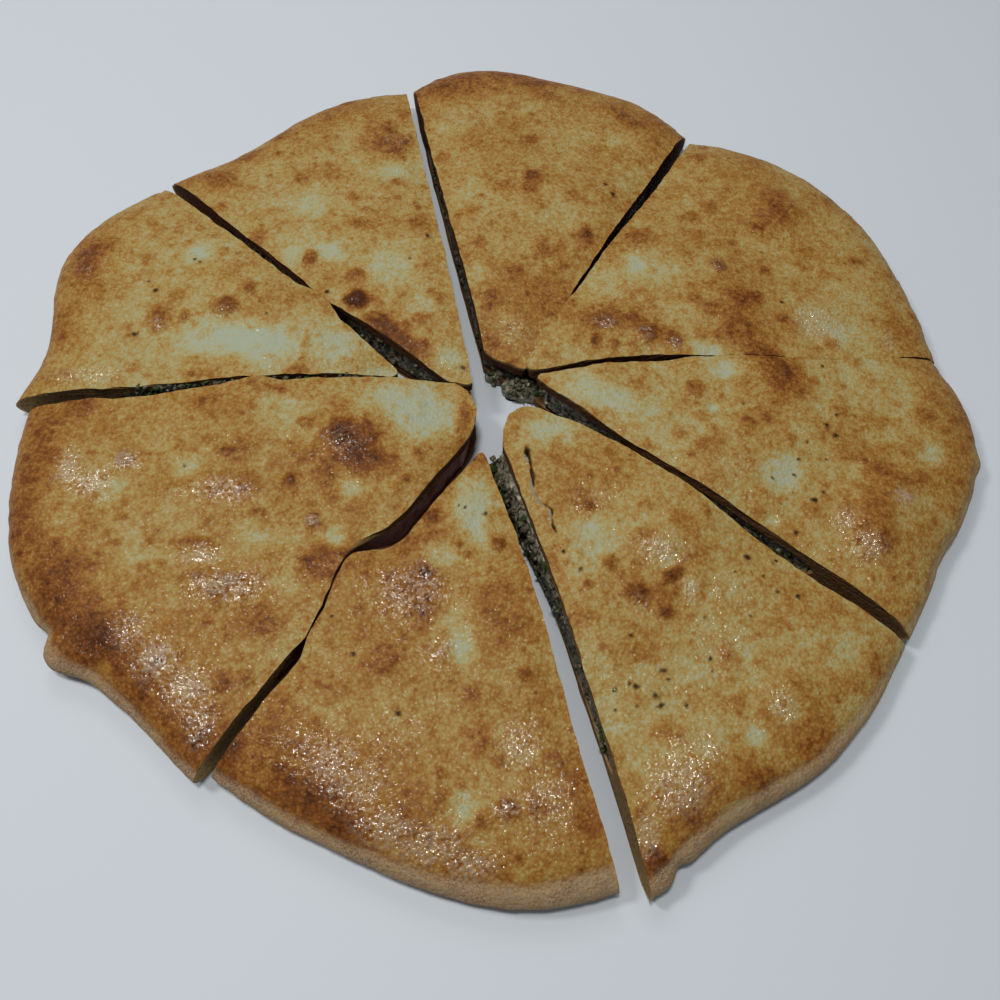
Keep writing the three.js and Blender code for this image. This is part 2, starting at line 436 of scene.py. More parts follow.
SLICES = (
    SlicePlan(
        1, cuts=(105.6, 62.5), reach=(0, -7), rim=(9.5, 1.5, 2), tip=((-5, 14), (6.5, 7.8)), nose=1,
        left=(0.5, 0), right=(0.2, 0), toast=0.41, rim_toast=(0.22, 0.12, 0.06),
        flour_band=(1.5, 1.0, 1.5), tip_inset=2.0, tip_droop=4.5,
        fits=(EdgeFit(Side.RIGHT, -0.1, 0.25, (1.9, 0.5), 0.6),),
    ),
    SlicePlan(
        2, cuts=(60.9, 9.6), reach=(-8.6, -2.8), rim=(9, 2, 0), tip=((9, 7.5), (10.5, 5.2)), nose=1,
        left=(0.8, 0.8), right=(-0.9, -2), toast=0.36, rim_toast=(0.04, 0.04, 0.12),
        flour_band=(1.5, 1.0, 1.5), tip_inset=2.5,
        fits=(
            EdgeFit(Side.LEFT, -0.1, 0.25, (1.9, 0.5), 0.6),
            EdgeFit(Side.RIGHT, 0.34, 1.2, (1.15, 0.3), 0.9),
        ),
    ),
    SlicePlan(
        3, cuts=(9.2, -31.4), reach=(-3.1, -6.8), rim=(5, 3, 0), tip=((12, 4.4), (12.5, 1.8)), nose=1,
        left=(-0.3, 1.6), right=(1.2, 0.6), toast=0.33, rim_toast=(0.12, 0.1, 0.12),
        flour_band=(1.0, 1.5, 1.5), tip_inset=2.5, right_shade=(1.0, 0.8),
        lumps=(RimLump(0.36, 3.0, 1.2), RimLump(0.72, 8.0, -1.0)),
        fits=(EdgeFit(Side.LEFT, 0.34, 1.2, (1.15, 0.3), 0.9),),
    ),
    SlicePlan(
        4, cuts=(-32.7, -72.9), reach=(-6.7, 5.3), rim=(-3.6, 2.6, -1), tip=((11, -6.8), (2.2, -21)),
        nose=4.8, left=(1.3, 1.8), right=(-1, 0), toast=0.35, rim_toast=(0.02, 0.1, 0.2),
        flour_band=(0.8, 3.4, 3.6), spill=(0, 5), smear=(0, 1.2), tip_inset=0.6,
        lumps=(RimLump(0.91, 2.2, -1.6), RimLump(0.95, 2.0, 0.8)), right_shade=(0.95, 0.45),
    ),
    SlicePlan(
        5, cuts=(-75.7, -119.2), reach=(1.8, -7.1), rim=(1, 1.6, 0.5), tip=((-2.6, -24.8), (-5, -24)),
        nose=1, left=(0.8, 0.6), right=(-0.4, -0.5), toast=0.46, rim_toast=(0.02, 0.1, 0.22),
        flour_band=(5.2, 2.6, 1.6), ear=Ear(Side.RIGHT, at=0.42, out=6.5, rise=0.06, fall=0.14),
        fits=(EdgeFit(Side.RIGHT, 0.4, 0.66, (1.9, 1.7), 1.0),), crumb_share=(1.0, 0.0),
    ),
    SlicePlan(
        6, cuts=(-120.6, -174), reach=(-3.9, -1.4), rim=(3.4, -2.8, -1.2),
        tip=((-9, -21.5), (-13, 0.3)), nose=5.5,
        left=(0.6, 0), right=(0, 2.2), toast=0.37, rim_toast=(0.26, 0.28, 0.24),
        flour_band=(1.4, 1.4, 0.8), left_shade=(0.9, 0.05),
        ear=Ear(Side.LEFT, at=0.4, out=-6.6, rise=0.08, fall=0.16),
        lumps=(RimLump(0.385, 6.0, 4.6), RimLump(0.45, 2.2, -1.6)),
        fits=(
            EdgeFit(Side.LEFT, 0.37, 0.65, (2.0, 1.75), 1.0),
            EdgeFit(Side.RIGHT, 0.42, 1.2, (2.2, 1.4), 1.0),
        ),
        crumb_share=(0.0, 1.0),
    ),
    SlicePlan(
        7, cuts=(-175.7, -213.6), reach=(3, 1), rim=(4, -5, -1.5), tip=((-32, 1.6), (-30.5, 4)), nose=1,
        left=(0, 0), right=(0.2, 0), toast=0.31, rim_toast=(0.12, 0.18, 0.06),
        flour_band=(1.0, 1.0, 1.5), tip_inset=2.0, left_shade=(1.0, 0.45), smear=(2.9, 0.0),
        fits=(EdgeFit(Side.RIGHT, 0.24, 0.36, (1.9, 1.5), 0.5),),
    ),
    SlicePlan(
        8, cuts=(-215.2, -253.1), reach=(1, -0.8), rim=(-3, -3, 0), tip=((-16.5, 2.5), (-7.8, 1)),
        nose=2.5, left=(3.2, 0.5), right=(0, 0), toast=0.32, rim_toast=(0.16, 0.12, 0.1),
        flour_band=(1.5, 1.0, 1.5), tip_inset=5.0,
        fits=(EdgeFit(Side.LEFT, 0.31, 0.41, (1.3, 1.1), 0.5),),
    ),
)


@dataclass(frozen=True)
class PhotoCamera:
    """The camera at the photograph's viewing angle, which also finds places on the bread by pixel."""

    target: Pair = (2.27, -33.6)
    elevation: float = 60.95
    distance: float = 291.4
    roll: float = 3.07
    frame_pixels: float = 1000.0
    focal_pixels: float = 1000.0
    sensor: float = 36.0
    near_clip: float = 10.0

    def axes(self) -> tuple[Array, Array, Array]:
        """Return the camera's right, up and backward directions."""
        tilt = math.radians(self.elevation)
        back = np.array((0.0, -math.cos(tilt), math.sin(tilt)))
        right = np.array((1.0, 0.0, 0.0))
        up = np.cross(back, right)
        turn = math.radians(self.roll)
        rolled_right = right * math.cos(turn) + up * math.sin(turn)
        rolled_up = up * math.cos(turn) - right * math.sin(turn)
        return rolled_right, rolled_up, back

    def location(self) -> Array:
        """Return where the camera stands."""
        return np.array((*self.target, 0.0)) + self.distance * self.axes()[2]

    def point_at(self, pixel: Pair, height: float) -> Array:
        """Find the level point that a pixel of the photograph shows.

        Args:
            pixel: column and row in the photograph's frame.
            height: height of the surface seen there.

        Returns:
            The point's x and y in millimetres.
        """
        right, up, back = self.axes()
        middle = self.frame_pixels / 2
        column = (pixel[0] - middle) / self.focal_pixels
        row = (pixel[1] - middle) / self.focal_pixels
        ray = column * right - row * up - back
        eye = self.location()
        return (eye + ray * (height - eye[2]) / ray[2])[:2]

    def add(self) -> bpy.types.Object:
        """Add the camera to the scene and make it the one that renders."""
        deselect_all()
        bpy.ops.object.camera_add()
        camera = bpy.context.object
        camera.name = "photo_camera"
        right, up, back = self.axes()
        columns = np.column_stack((right, up, back, self.location() * MM))
        camera.matrix_world = Matrix(columns.tolist() + [[0, 0, 0, 1]])
        camera.data.sensor_width = self.sensor
        camera.data.lens = self.sensor * self.focal_pixels / self.frame_pixels
        camera.data.clip_start = self.near_clip * MM
        bpy.context.scene.camera = camera
        return camera


CAMERA = PhotoCamera()

# Height of the crust at which a mark is placed by its pixel
CRUST_LEVEL = 15.5

# How much browner the crust is at a charred speck
SPECK_TOAST = 0.1


@dataclass(frozen=True)
class CrustMark:
    """One mark on the crust, placed by the pixel that shows it.

    size holds its half width and half depth on the bread, turn its angle in degrees, lift how far it
    stands up, toast how much browner it is, or paler below zero, its blackness how dark it is as a
    charred speck or as painted shade in a hole, and shine how buttery, which also paints a pale sheen
    where it is high.
    """

    pixel: Pair
    size: Pair
    toast: float = 0.0
    lift: float = 0.0
    burnt_and_shade: float = 0.0
    shine: float = 0.0
    turn: float = 0.0

    def distance(self, points: Array) -> Array:
        """Return how far points lie from the mark's middle, 1 being its edge."""
        offset = points - CAMERA.point_at(self.pixel, CRUST_LEVEL)
        along = direction(self.turn)
        first = offset @ along / self.size[0]
        second = offset @ np.array((-along[1], along[0])) / self.size[1]
        return np.hypot(first, second)


def patches(*rows: tuple[float, ...]) -> tuple[CrustMark, ...]:
    """Make browner or paler patches from rows of pixel, half width, half depth, toast and any turn."""
    return tuple(CrustMark(row[0:2], row[2:4], toast=row[4], turn=sum(row[5:6])) for row in rows)


def blisters(*rows: tuple[float, ...]) -> tuple[CrustMark, ...]:
    """Make blisters from rows of pixel, half width, half depth, lift, toast and any turn."""
    return tuple(
        CrustMark(row[0:2], row[2:4], toast=row[5], lift=row[4], turn=sum(row[6:7])) for row in rows
    )


def specks(*rows: tuple[float, ...]) -> tuple[CrustMark, ...]:
    """Make charred specks from rows of pixel and radius."""
    return tuple(CrustMark(row[0:2], (row[2], row[2]), toast=SPECK_TOAST, burnt_and_shade=1.0) for row in rows)


def buttery(*rows: tuple[float, ...]) -> tuple[CrustMark, ...]:
    """Make buttery, sheen-painting patches from rows of pixel, half width, half depth, shine and any turn.
    """
    return tuple(CrustMark(row[0:2], row[2:4], shine=row[4], turn=sum(row[5:6])) for row in rows)


# Browner patches of the crust
BROWN_PATCHES = patches(
    (447, 87, 7, 5, 0.15), (537, 78, 7, 4, 0.1), (528, 136, 3.2, 3.5, 0.14), (600, 145, 2.6, 3, 0.12),
    (557, 156, 2.5, 3, 0.1), (531, 178, 2.6, 4, 0.16), (500, 190, 4.4, 3.2, 0.18),
    (529, 191, 3.2, 2.6, 0.16), (474, 212, 3.2, 2.2, 0.25), (444, 155, 2.6, 3, 0.2),
    (570, 197, 3.5, 3, 0.12), (585, 239, 3.2, 3, 0.18), (542, 254, 2.6, 4, 0.18),
    (515, 275, 3.2, 2.8, 0.18), (529, 299, 8, 8, 0.08), (552, 300, 6, 10, 0.05), (491, 302, 3, 3, 0.15),
    (689, 217, 3.6, 2.6, 0.22), (640, 238, 4.6, 3.8, 0.2), (694, 304, 2.2, 2.4, 0.22),
    (738, 301, 6, 4, 0.28), (756, 301, 3, 3.4, 0.2), (782, 320, 2.4, 2.4, 0.25), (740, 323, 8, 8, 0.18),
    (721, 339, 5, 4, 0.18), (712, 288, 6, 6, 0.14), (761, 355, 7.5, 4.5, 0.24),
    (855, 257, 4.5, 2.2, 0.2, 20), (828, 272, 3.5, 3, 0.12), (897, 317, 4, 8, 0.12),
    (608, 322, 9, 6, 0.2), (640, 326, 9, 5, 0.14), (662, 338, 5, 4, 0.14), (784, 382, 7.5, 7, 0.25),
    (927, 412, 4.2, 3, 0.22, -30), (884, 419, 6, 2.5, 0.15), (876, 378, 6, 3, 0.1),
    (850, 439, 10, 7, 0.1), (678, 435, 2.8, 3, 0.2), (698, 448, 2.4, 2.6, 0.22),
    (590, 480, 11, 8.5, 0.11), (588, 506, 3.4, 3, 0.2), (683, 527, 4.5, 4, 0.12),
    (650, 538, 3, 4, 0.08), (695, 556, 5, 2.5, 0.15, 20), (637, 596, 4.2, 3.4, 0.22),
    (666, 614, 3.2, 2, 0.22), (580, 619, 4, 4.4, 0.2), (727, 649, 2.2, 2.8, 0.2),
    (772, 625, 5.5, 2.4, 0.1, 20), (638, 651, 5.2, 3.4, 0.16), (794, 687, 6, 5, 0.12),
    (823, 732, 7, 6, 0.08), (761, 767, 7, 4.5, 0.12, 30), (694, 812, 6, 5, 0.12, 40),
    (658, 857, 4, 3.5, 0.25), (407, 588, 10, 9, 0.12), (425, 613, 3, 4, 0.18),
    (426, 573, 2.4, 2.4, 0.15), (498, 596, 7, 4, 0.17), (492, 621, 3, 2.5, 0.15),
    (390, 640, 14, 8, 0.06), (383, 666, 6.5, 4, 0.14), (471, 694, 2.6, 2.6, 0.15),
    (275, 771, 3.5, 3, 0.08), (296, 800, 7, 5, 0.14, -30), (315, 786, 5, 4, 0.08),
    (335, 818, 8, 4, 0.2, -30), (225, 492, 11, 4.5, 0.1), (589, 823, 4, 6, 0.18),
    (474, 460, 3, 2, 0.15), (560, 760, 8, 14, 0.08), (350, 440, 9.5, 8.5, 0.36), (341, 435, 4, 4, 0.1),
    (368, 466, 7, 5.5, 0.24), (392, 466, 3.5, 4, 0.16), (419, 458, 2.4, 3.2, 0.2),
    (306, 425, 2.8, 2.4, 0.2), (463, 416, 2.4, 8, 0.26), (279, 393, 2.4, 1.4, 0.25),
    (325, 477, 4, 5, 0.22), (358, 510, 3.5, 2, 0.18), (291, 485, 3.4, 3.4, 0.2),
    (257, 515, 3, 1.8, 0.25), (228, 454, 3, 1.8, 0.22), (199, 542, 6, 1.8, 0.25),
    (318, 561, 5, 5, 0.22), (346, 552, 5, 2, 0.2), (228, 582, 11, 5, 0.14), (191, 406, 3, 2.5, 0.15),
    (214, 406, 2.5, 2, 0.15), (84, 413, 3, 3, 0.15), (153, 658, 2.2, 2, 0.18), (222, 678, 3, 2.6, 0.2),
    (64, 569, 7, 8, 0.1), (90, 625, 7, 8, 0.12), (85, 250, 6, 9, 0.2), (175, 294, 3.2, 3.4, 0.18),
    (131, 364, 2.4, 2.8, 0.2), (147, 254, 3, 3.4, 0.15), (150, 218, 2.5, 3, 0.12),
    (235, 273, 4, 4, 0.1), (306, 350, 1.6, 6, 0.2), (298, 372, 3.2, 2, 0.3), (328, 312, 3, 3, 0.15),
    (196, 372, 4, 1.6, 0.15), (390, 139, 9, 10, 0.26), (221, 172, 7, 6, 0.22), (241, 145, 5, 4, 0.15),
    (278, 149, 1.8, 2, 0.2), (301, 176, 4, 4, 0.16), (333, 174, 4, 4, 0.18), (397, 182, 2.6, 3, 0.2),
    (352, 198, 2.6, 3, 0.15), (360, 227, 5, 3, 0.22, -15), (258, 233, 3, 5, 0.18),
    (421, 221, 3.2, 3, 0.22), (356, 278, 3.6, 3.4, 0.25), (358, 302, 4.2, 3.6, 0.6),
    (431, 294, 1.8, 2, 0.18), (419, 321, 2.4, 2.6, 0.22), (394, 336, 10, 4, 0.34, -30),
    (311, 259, 2.8, 4, 0.16), (425, 352, 5, 4, 0.2), (400, 328, 5, 3, 0.12), (378, 321, 6, 4, 0.32),
    (880, 468, 6, 4, 0.12), (530, 200, 4, 4, 0.1), (260, 620, 7, 5, 0.2), (320, 500, 4, 4, 0.08),
)

# Paler patches where the dough stayed blond, the last few painting a pale sheen on buttery rims and swells
PALE_PATCHES = patches(
    (470, 200, 8, 12, -0.1), (474, 278, 4, 5, -0.2), (533, 104, 3.4, 3, -0.12), (560, 220, 10, 8, -0.1),
    (635, 264, 3.6, 4.4, -0.26), (707, 352, 5, 4, -0.26), (600, 280, 8, 6, -0.12),
    (660, 270, 10, 8, -0.12), (712, 410, 1.6, 1.6, -0.3), (724, 373, 5, 2.6, -0.25),
    (778, 473, 6.5, 6.5, -0.26), (936, 450, 4, 4, -0.25), (772, 519, 3, 2.6, -0.25),
    (600, 395, 10, 6, -0.22, -30), (650, 420, 12, 8, -0.12, -30), (592, 545, 8.5, 9, -0.26),
    (759, 734, 3.6, 2.6, -0.25), (774, 752, 5, 3, -0.15), (700, 650, 15, 10, -0.05),
    (840, 645, 10, 6, -0.02), (552, 428, 9, 7, -0.3), (475, 503, 6.5, 9, -0.36),
    (441, 557, 4.6, 4, -0.28), (480, 545, 5, 6, -0.18), (460, 640, 3.4, 10, -0.28, 10),
    (464, 807, 3.2, 4, -0.25), (482, 841, 3, 2.5, -0.22), (440, 625, 3, 3, -0.2),
    (424, 417, 12, 9.5, -0.32), (385, 400, 9, 5, -0.2), (186, 469, 4, 3, -0.18),
    (138, 553, 7, 4, -0.12), (112, 484, 4, 2.5, -0.15), (333, 536, 3.4, 3, -0.28),
    (352, 492, 3.4, 2, -0.2), (270, 540, 8, 3, -0.15), (291, 577, 4, 5, -0.18),
    (280, 410, 10, 4, -0.18), (216, 339, 14, 8, -0.3), (270, 347, 11, 7.5, -0.28),
    (199, 249, 4, 5, -0.25), (330, 345, 9, 7, -0.22), (385, 372, 8, 3, -0.25), (292, 257, 4, 5, -0.28),
    (331, 253, 6, 6, -0.26), (384, 172, 8, 6, -0.16), (300, 205, 9, 6, -0.12), (390, 270, 9, 10, -0.18),
    (445, 355, 4, 3, -0.25), (280, 430, 6, 4, -0.15), (180, 500, 6, 4, -0.11), (150, 558, 6, 4, -0.06),
    (912, 512, 5, 5, -0.07), (850, 330, 6, 6, -0.13), (505, 105, 12, 6, -0.08), (510, 330, 5, 5, -0.14),
    (420, 308, 5, 5, -0.18), (150, 330, 5, 4, -0.09), (640, 520, 4, 4, -0.1), (660, 557, 5, 4, -0.14),
    # From (165, 680) on: painted sheen, paler where the butter's gloss shines, not blond dough
    (505, 680, 6, 6, -0.08), (60, 500, 6, 9, -0.12), (165, 680, 9, 6, -0.12, -45),
    (256, 752, 8, 6, -0.12), (440, 862, 12, 4, -0.1, -15), (535, 858, 10, 5, -0.1),
    (800, 700, 7, 6, -0.1), (815, 320, 9, 8, -0.08),
)

# Blisters, browned on top, and broad swells that only catch the light
BLISTERS = blisters(
    (709, 206, 2.8, 3.2, 0.5, 0.2), (715, 269, 3, 3.4, 0.7, 0.28), (762, 269, 2, 2.2, 0.4, 0.15),
    (646, 336, 3.6, 3.6, 0.8, 0.3), (673, 342, 2.4, 2.6, 0.5, 0.28), (614, 345, 2, 2, 0.4, 0.2),
    (595, 341, 2.2, 2, 0.4, 0.15), (776, 211, 9, 11, 0.8, 0.16), (893, 478, 11, 10.5, 0.8, 0.2),
    (876, 526, 8.5, 9.5, 0.8, 0.28), (695, 392, 2.9, 3.1, 0.6, 0.28), (747, 426, 2.3, 2.4, 0.5, 0.22),
    (764, 422, 2, 2, 0.3, 0.15), (790, 440, 1.8, 1.8, 0.3, 0.18), (666, 417, 1.8, 1.8, 0.3, 0.15),
    (609, 564, 2.4, 2.6, 0.8, 0.3), (671, 577, 4, 1.9, 0.8, 0.36, 35), (637, 597, 3.6, 3, 0.6, 0.1),
    (643, 510, 2.5, 2.6, 0.5, 0.15), (588, 507, 1.6, 1.6, 0.5, 0.12), (431, 520, 2.2, 2.4, 0.6, 0.25),
    (498, 546, 2.2, 2.4, 0.7, 0.32), (466, 556, 1.2, 1.3, 0.4, 0.22), (459, 546, 1.2, 1.2, 0.3, 0.15),
    (508, 807, 2.5, 2.4, 0.6, 0.25), (521, 674, 2, 2, 0.5, 0.18), (461, 783, 1.4, 1.4, 0.4, 0.2),
    (441, 773, 1.3, 1.3, 0.4, 0.18), (498, 760, 1.5, 1.5, 0.4, 0.15), (316, 722, 2, 2, 0.6, 0.1),
    (440, 653, 2.6, 2.6, 0.6, 0.1), (124, 458, 2.8, 3, 0.9, 0.2), (102, 475, 1.2, 1.3, 0.5, 0.15),
    (312, 521, 2.4, 2.8, 0.7, 0.28), (195, 573, 2, 1.8, 0.5, 0.12), (230, 577, 2.2, 2, 0.7, 0.1),
    (214, 589, 2, 1.8, 0.8, 0.1), (246, 590, 2, 2, 0.5, 0.1), (217, 604, 1.6, 1.4, 0.6, 0.1),
    (406, 418, 1.5, 1.8, 0.3, 0.18), (343, 442, 3, 2.6, 0.8, 0.1), (161, 561, 1.3, 1.2, 0.4, 0.2),
    (150, 538, 1.4, 1.4, 0.4, 0.2), (122, 515, 1.4, 1.4, 0.4, 0.15), (157, 317, 4.4, 5, 1.2, 0.26),
    (184, 316, 1.9, 2.2, 0.6, 0.2), (224, 310, 5, 3.4, 1.1, 0.26), (251, 292, 2.4, 3, 0.6, 0.2),
    (311, 259, 2.4, 3.2, 0.6, 0.15), (358, 302, 3.4, 3, 0.7, 0.1), (662, 540, 8, 7, 0.9, 0),
    (692, 583, 4, 5, 0.6, 0), (222, 486, 11, 3.5, 0.5, 0), (199, 546, 6, 3, 0.7, 0),
    (84, 462, 8, 5, 0.6, 0), (410, 575, 9, 7, 0.6, 0), (815, 310, 12, 9, 0.8, 0),
    (517, 322, 5, 6, 0.8, 0), (722, 770, 15, 13, 1.5, 0), (795, 690, 8, 7, 0.9, 0),
)

# Small specks where the crust charred black
BURNT_SPECKS = specks(
    (613, 195, 0.9), (605, 185, 0.7), (533, 352, 1.2), (762, 252, 0.6), (781, 303, 0.7),
    (720, 360, 0.6), (823, 367, 0.6), (836, 415, 0.5), (826, 426, 0.8), (836, 436, 1), (807, 443, 0.7),
    (827, 459, 0.6), (798, 460, 0.6), (794, 475, 0.5), (772, 479, 0.5), (794, 492, 0.4), (816, 499, 1),
    (824, 492, 0.6), (781, 503, 0.5), (797, 531, 0.8), (741, 407, 0.5), (706, 617, 0.45),
    (619, 597, 0.4), (751, 615, 0.5), (631, 636, 0.7), (665, 669, 0.9), (669, 678, 0.5),
    (656, 694, 1.2), (662, 704, 0.9), (636, 685, 0.7), (630, 682, 0.5), (615, 689, 0.6),
    (637, 704, 0.6), (616, 708, 0.6), (688, 704, 0.7), (712, 657, 0.7), (713, 670, 0.4),
    (563, 553, 0.6), (580, 571, 0.7), (747, 557, 0.8), (778, 558, 0.6), (735, 572, 0.5),
    (764, 575, 0.7), (778, 591, 0.8), (800, 594, 0.8), (398, 712, 1), (353, 653, 0.7), (336, 619, 0.6),
    (465, 509, 0.6), (486, 515, 0.7), (459, 507, 0.4), (185, 467, 0.5), (133, 331, 1.1),
    (155, 288, 0.8), (147, 279, 0.7), (268, 318, 0.6), (195, 258, 0.6), (200, 262, 0.5),
    (427, 239, 0.9), (410, 262, 0.6), (330, 292, 0.8),
)

# Where the butter lies thickest and the crust sparkles, also painting a pale sheen into its colour
BUTTER_AND_SHEEN_PATCHES = buttery(
    (516, 330, 5, 5, 0.5), (465, 115, 9, 6, 0.3), (560, 110, 12, 8, 0.2), (820, 322, 10, 9, 0.8),
    (890, 334, 3, 5, 0.7), (646, 336, 3, 3, 0.8), (606, 325, 5, 3, 0.7), (715, 269, 3, 3, 0.7),
    (675, 345, 2.4, 2, 0.7), (905, 495, 4, 4, 1), (870, 548, 7, 6, 0.9), (845, 520, 4, 5, 0.8),
    (740, 470, 8, 6, 0.3), (658, 553, 8, 5, 0.9), (690, 590, 3, 5, 0.9), (680, 785, 9, 10, 0.9),
    (650, 832, 4, 6, 0.8), (703, 745, 7, 5, 0.7), (785, 705, 4, 5, 0.9), (640, 605, 3, 3, 0.5),
    (590, 500, 7, 6, 0.4), (735, 590, 9, 6, 0.4), (720, 640, 9, 6, 0.4), (410, 590, 12, 10, 0.68),
    (440, 653, 4, 4, 0.9), (300, 742, 6, 6, 0.6), (328, 757, 8, 7, 0.85), (354, 784, 9, 7, 0.85),
    (385, 823, 10, 6, 0.9), (427, 844, 11, 6, 0.9), (471, 862, 8, 4, 0.9), (520, 745, 6, 7, 0.8),
    (508, 807, 4, 4, 0.9), (550, 800, 7, 11, 0.62), (390, 740, 9, 8, 0.25), (66, 464, 5, 8, 1),
    (90, 480, 7, 5, 1), (124, 458, 5, 4, 1), (225, 492, 11, 4.5, 0.75), (200, 555, 7, 3.4, 0.9),
    (225, 585, 11, 5, 1), (128, 624, 5, 6, 0.8), (156, 655, 7, 6, 1), (184, 686, 7.5, 7, 1),
    (196, 720, 4.5, 7, 0.9), (343, 443, 8, 6, 0.5), (312, 521, 3, 3, 0.9), (95, 368, 8, 3, 0.6),
    (62, 368, 6, 3, 0.6), (157, 322, 2.5, 2.5, 0.5), (224, 315, 3, 2, 0.5), (85, 255, 7, 8, 0.3),
    (270, 190, 9, 7, 0.3), (390, 139, 8, 8, 0.3),
)

# A small hole by the tip of the slice at the far left, painted dark as shade, and the start of the tear,
# sunk and painted dark as shade
TIP_HOLES = (
    CrustMark((463, 365), (1.5, 1.0), burnt_and_shade=0.85),
    CrustMark((527, 452), (1.0, 1.7), lift=-0.9, burnt_and_shade=1.0),
)

# Every mark that has its own place on the crust
MARKS = BROWN_PATCHES + PALE_PATCHES + BLISTERS + BURNT_SPECKS + TIP_HOLES + BUTTER_AND_SHEEN_PATCHES

# Broad blisters that the solids have too: x, y, reach and height
BROAD_BLISTERS = ((107, -41, 12, 2.0), (89, 72, 12, 1.8), (-41, -26, 11, 1.4), (73, 33, 12, 1.2))

# The tear in the crust of the slice at the front right, pixel by pixel along it
TEAR_PIXELS = (
    (527, 451), (530, 460), (533, 477), (534, 489), (541, 503), (552, 510), (553, 525), (556, 532),
)


@dataclass(frozen=True)
class BlisterField:
    """Small blisters strewn over the crust, one at most in each cell of a jittered grid.

    spacing is the size of a cell and chance how many cells hold a blister. radius is the range of their
    radii, steepness their height as a share of it and tint how much browner their tops are.
    """

    spacing: float
    chance: float
    radius: Pair
    steepness: float
    tint: float
    seed: int

    def sample(self, points: Array) -> tuple[Array, Array]:
        """Find the blisters near points.

        Args:
            points: level places in millimetres.

        Returns:
            How far the blisters lift each point, and how close to the top of one it is.
        """
        base = np.floor(points / self.spacing).astype(np.int64)
        lift = np.zeros(points.shape[:-1])
        top = np.zeros(points.shape[:-1])
        for offset in itertools.product((-1, 0, 1), repeat=2):
            cell = base + np.array(offset)
            jitter = np.stack([lattice_value(cell, self.seed + k) for k in range(2)], axis=-1)
            radius = lerp(*self.radius, lattice_value(cell, self.seed + 2) ** 2)
            present = lattice_value(cell, self.seed + 3) < self.chance
            distance = np.linalg.norm(points - (cell + jitter) * self.spacing, axis=-1) / radius
            dome = present * np.clip(1 - distance ** 2, 0, None) ** 2
            lift += dome * radius * self.steepness
            top = np.maximum(top, dome)
        return lift, top


@dataclass(frozen=True)
class CrustSample:
    """What the crust is like at a set of points.

    lift is in millimetres, toast is how much browner the crust is than its slice, and the rest run from
    0 to 1.
    """

    lift: Array
    toast: Array
    burnt_and_shade: Array
    torn: Array
    shine: Array


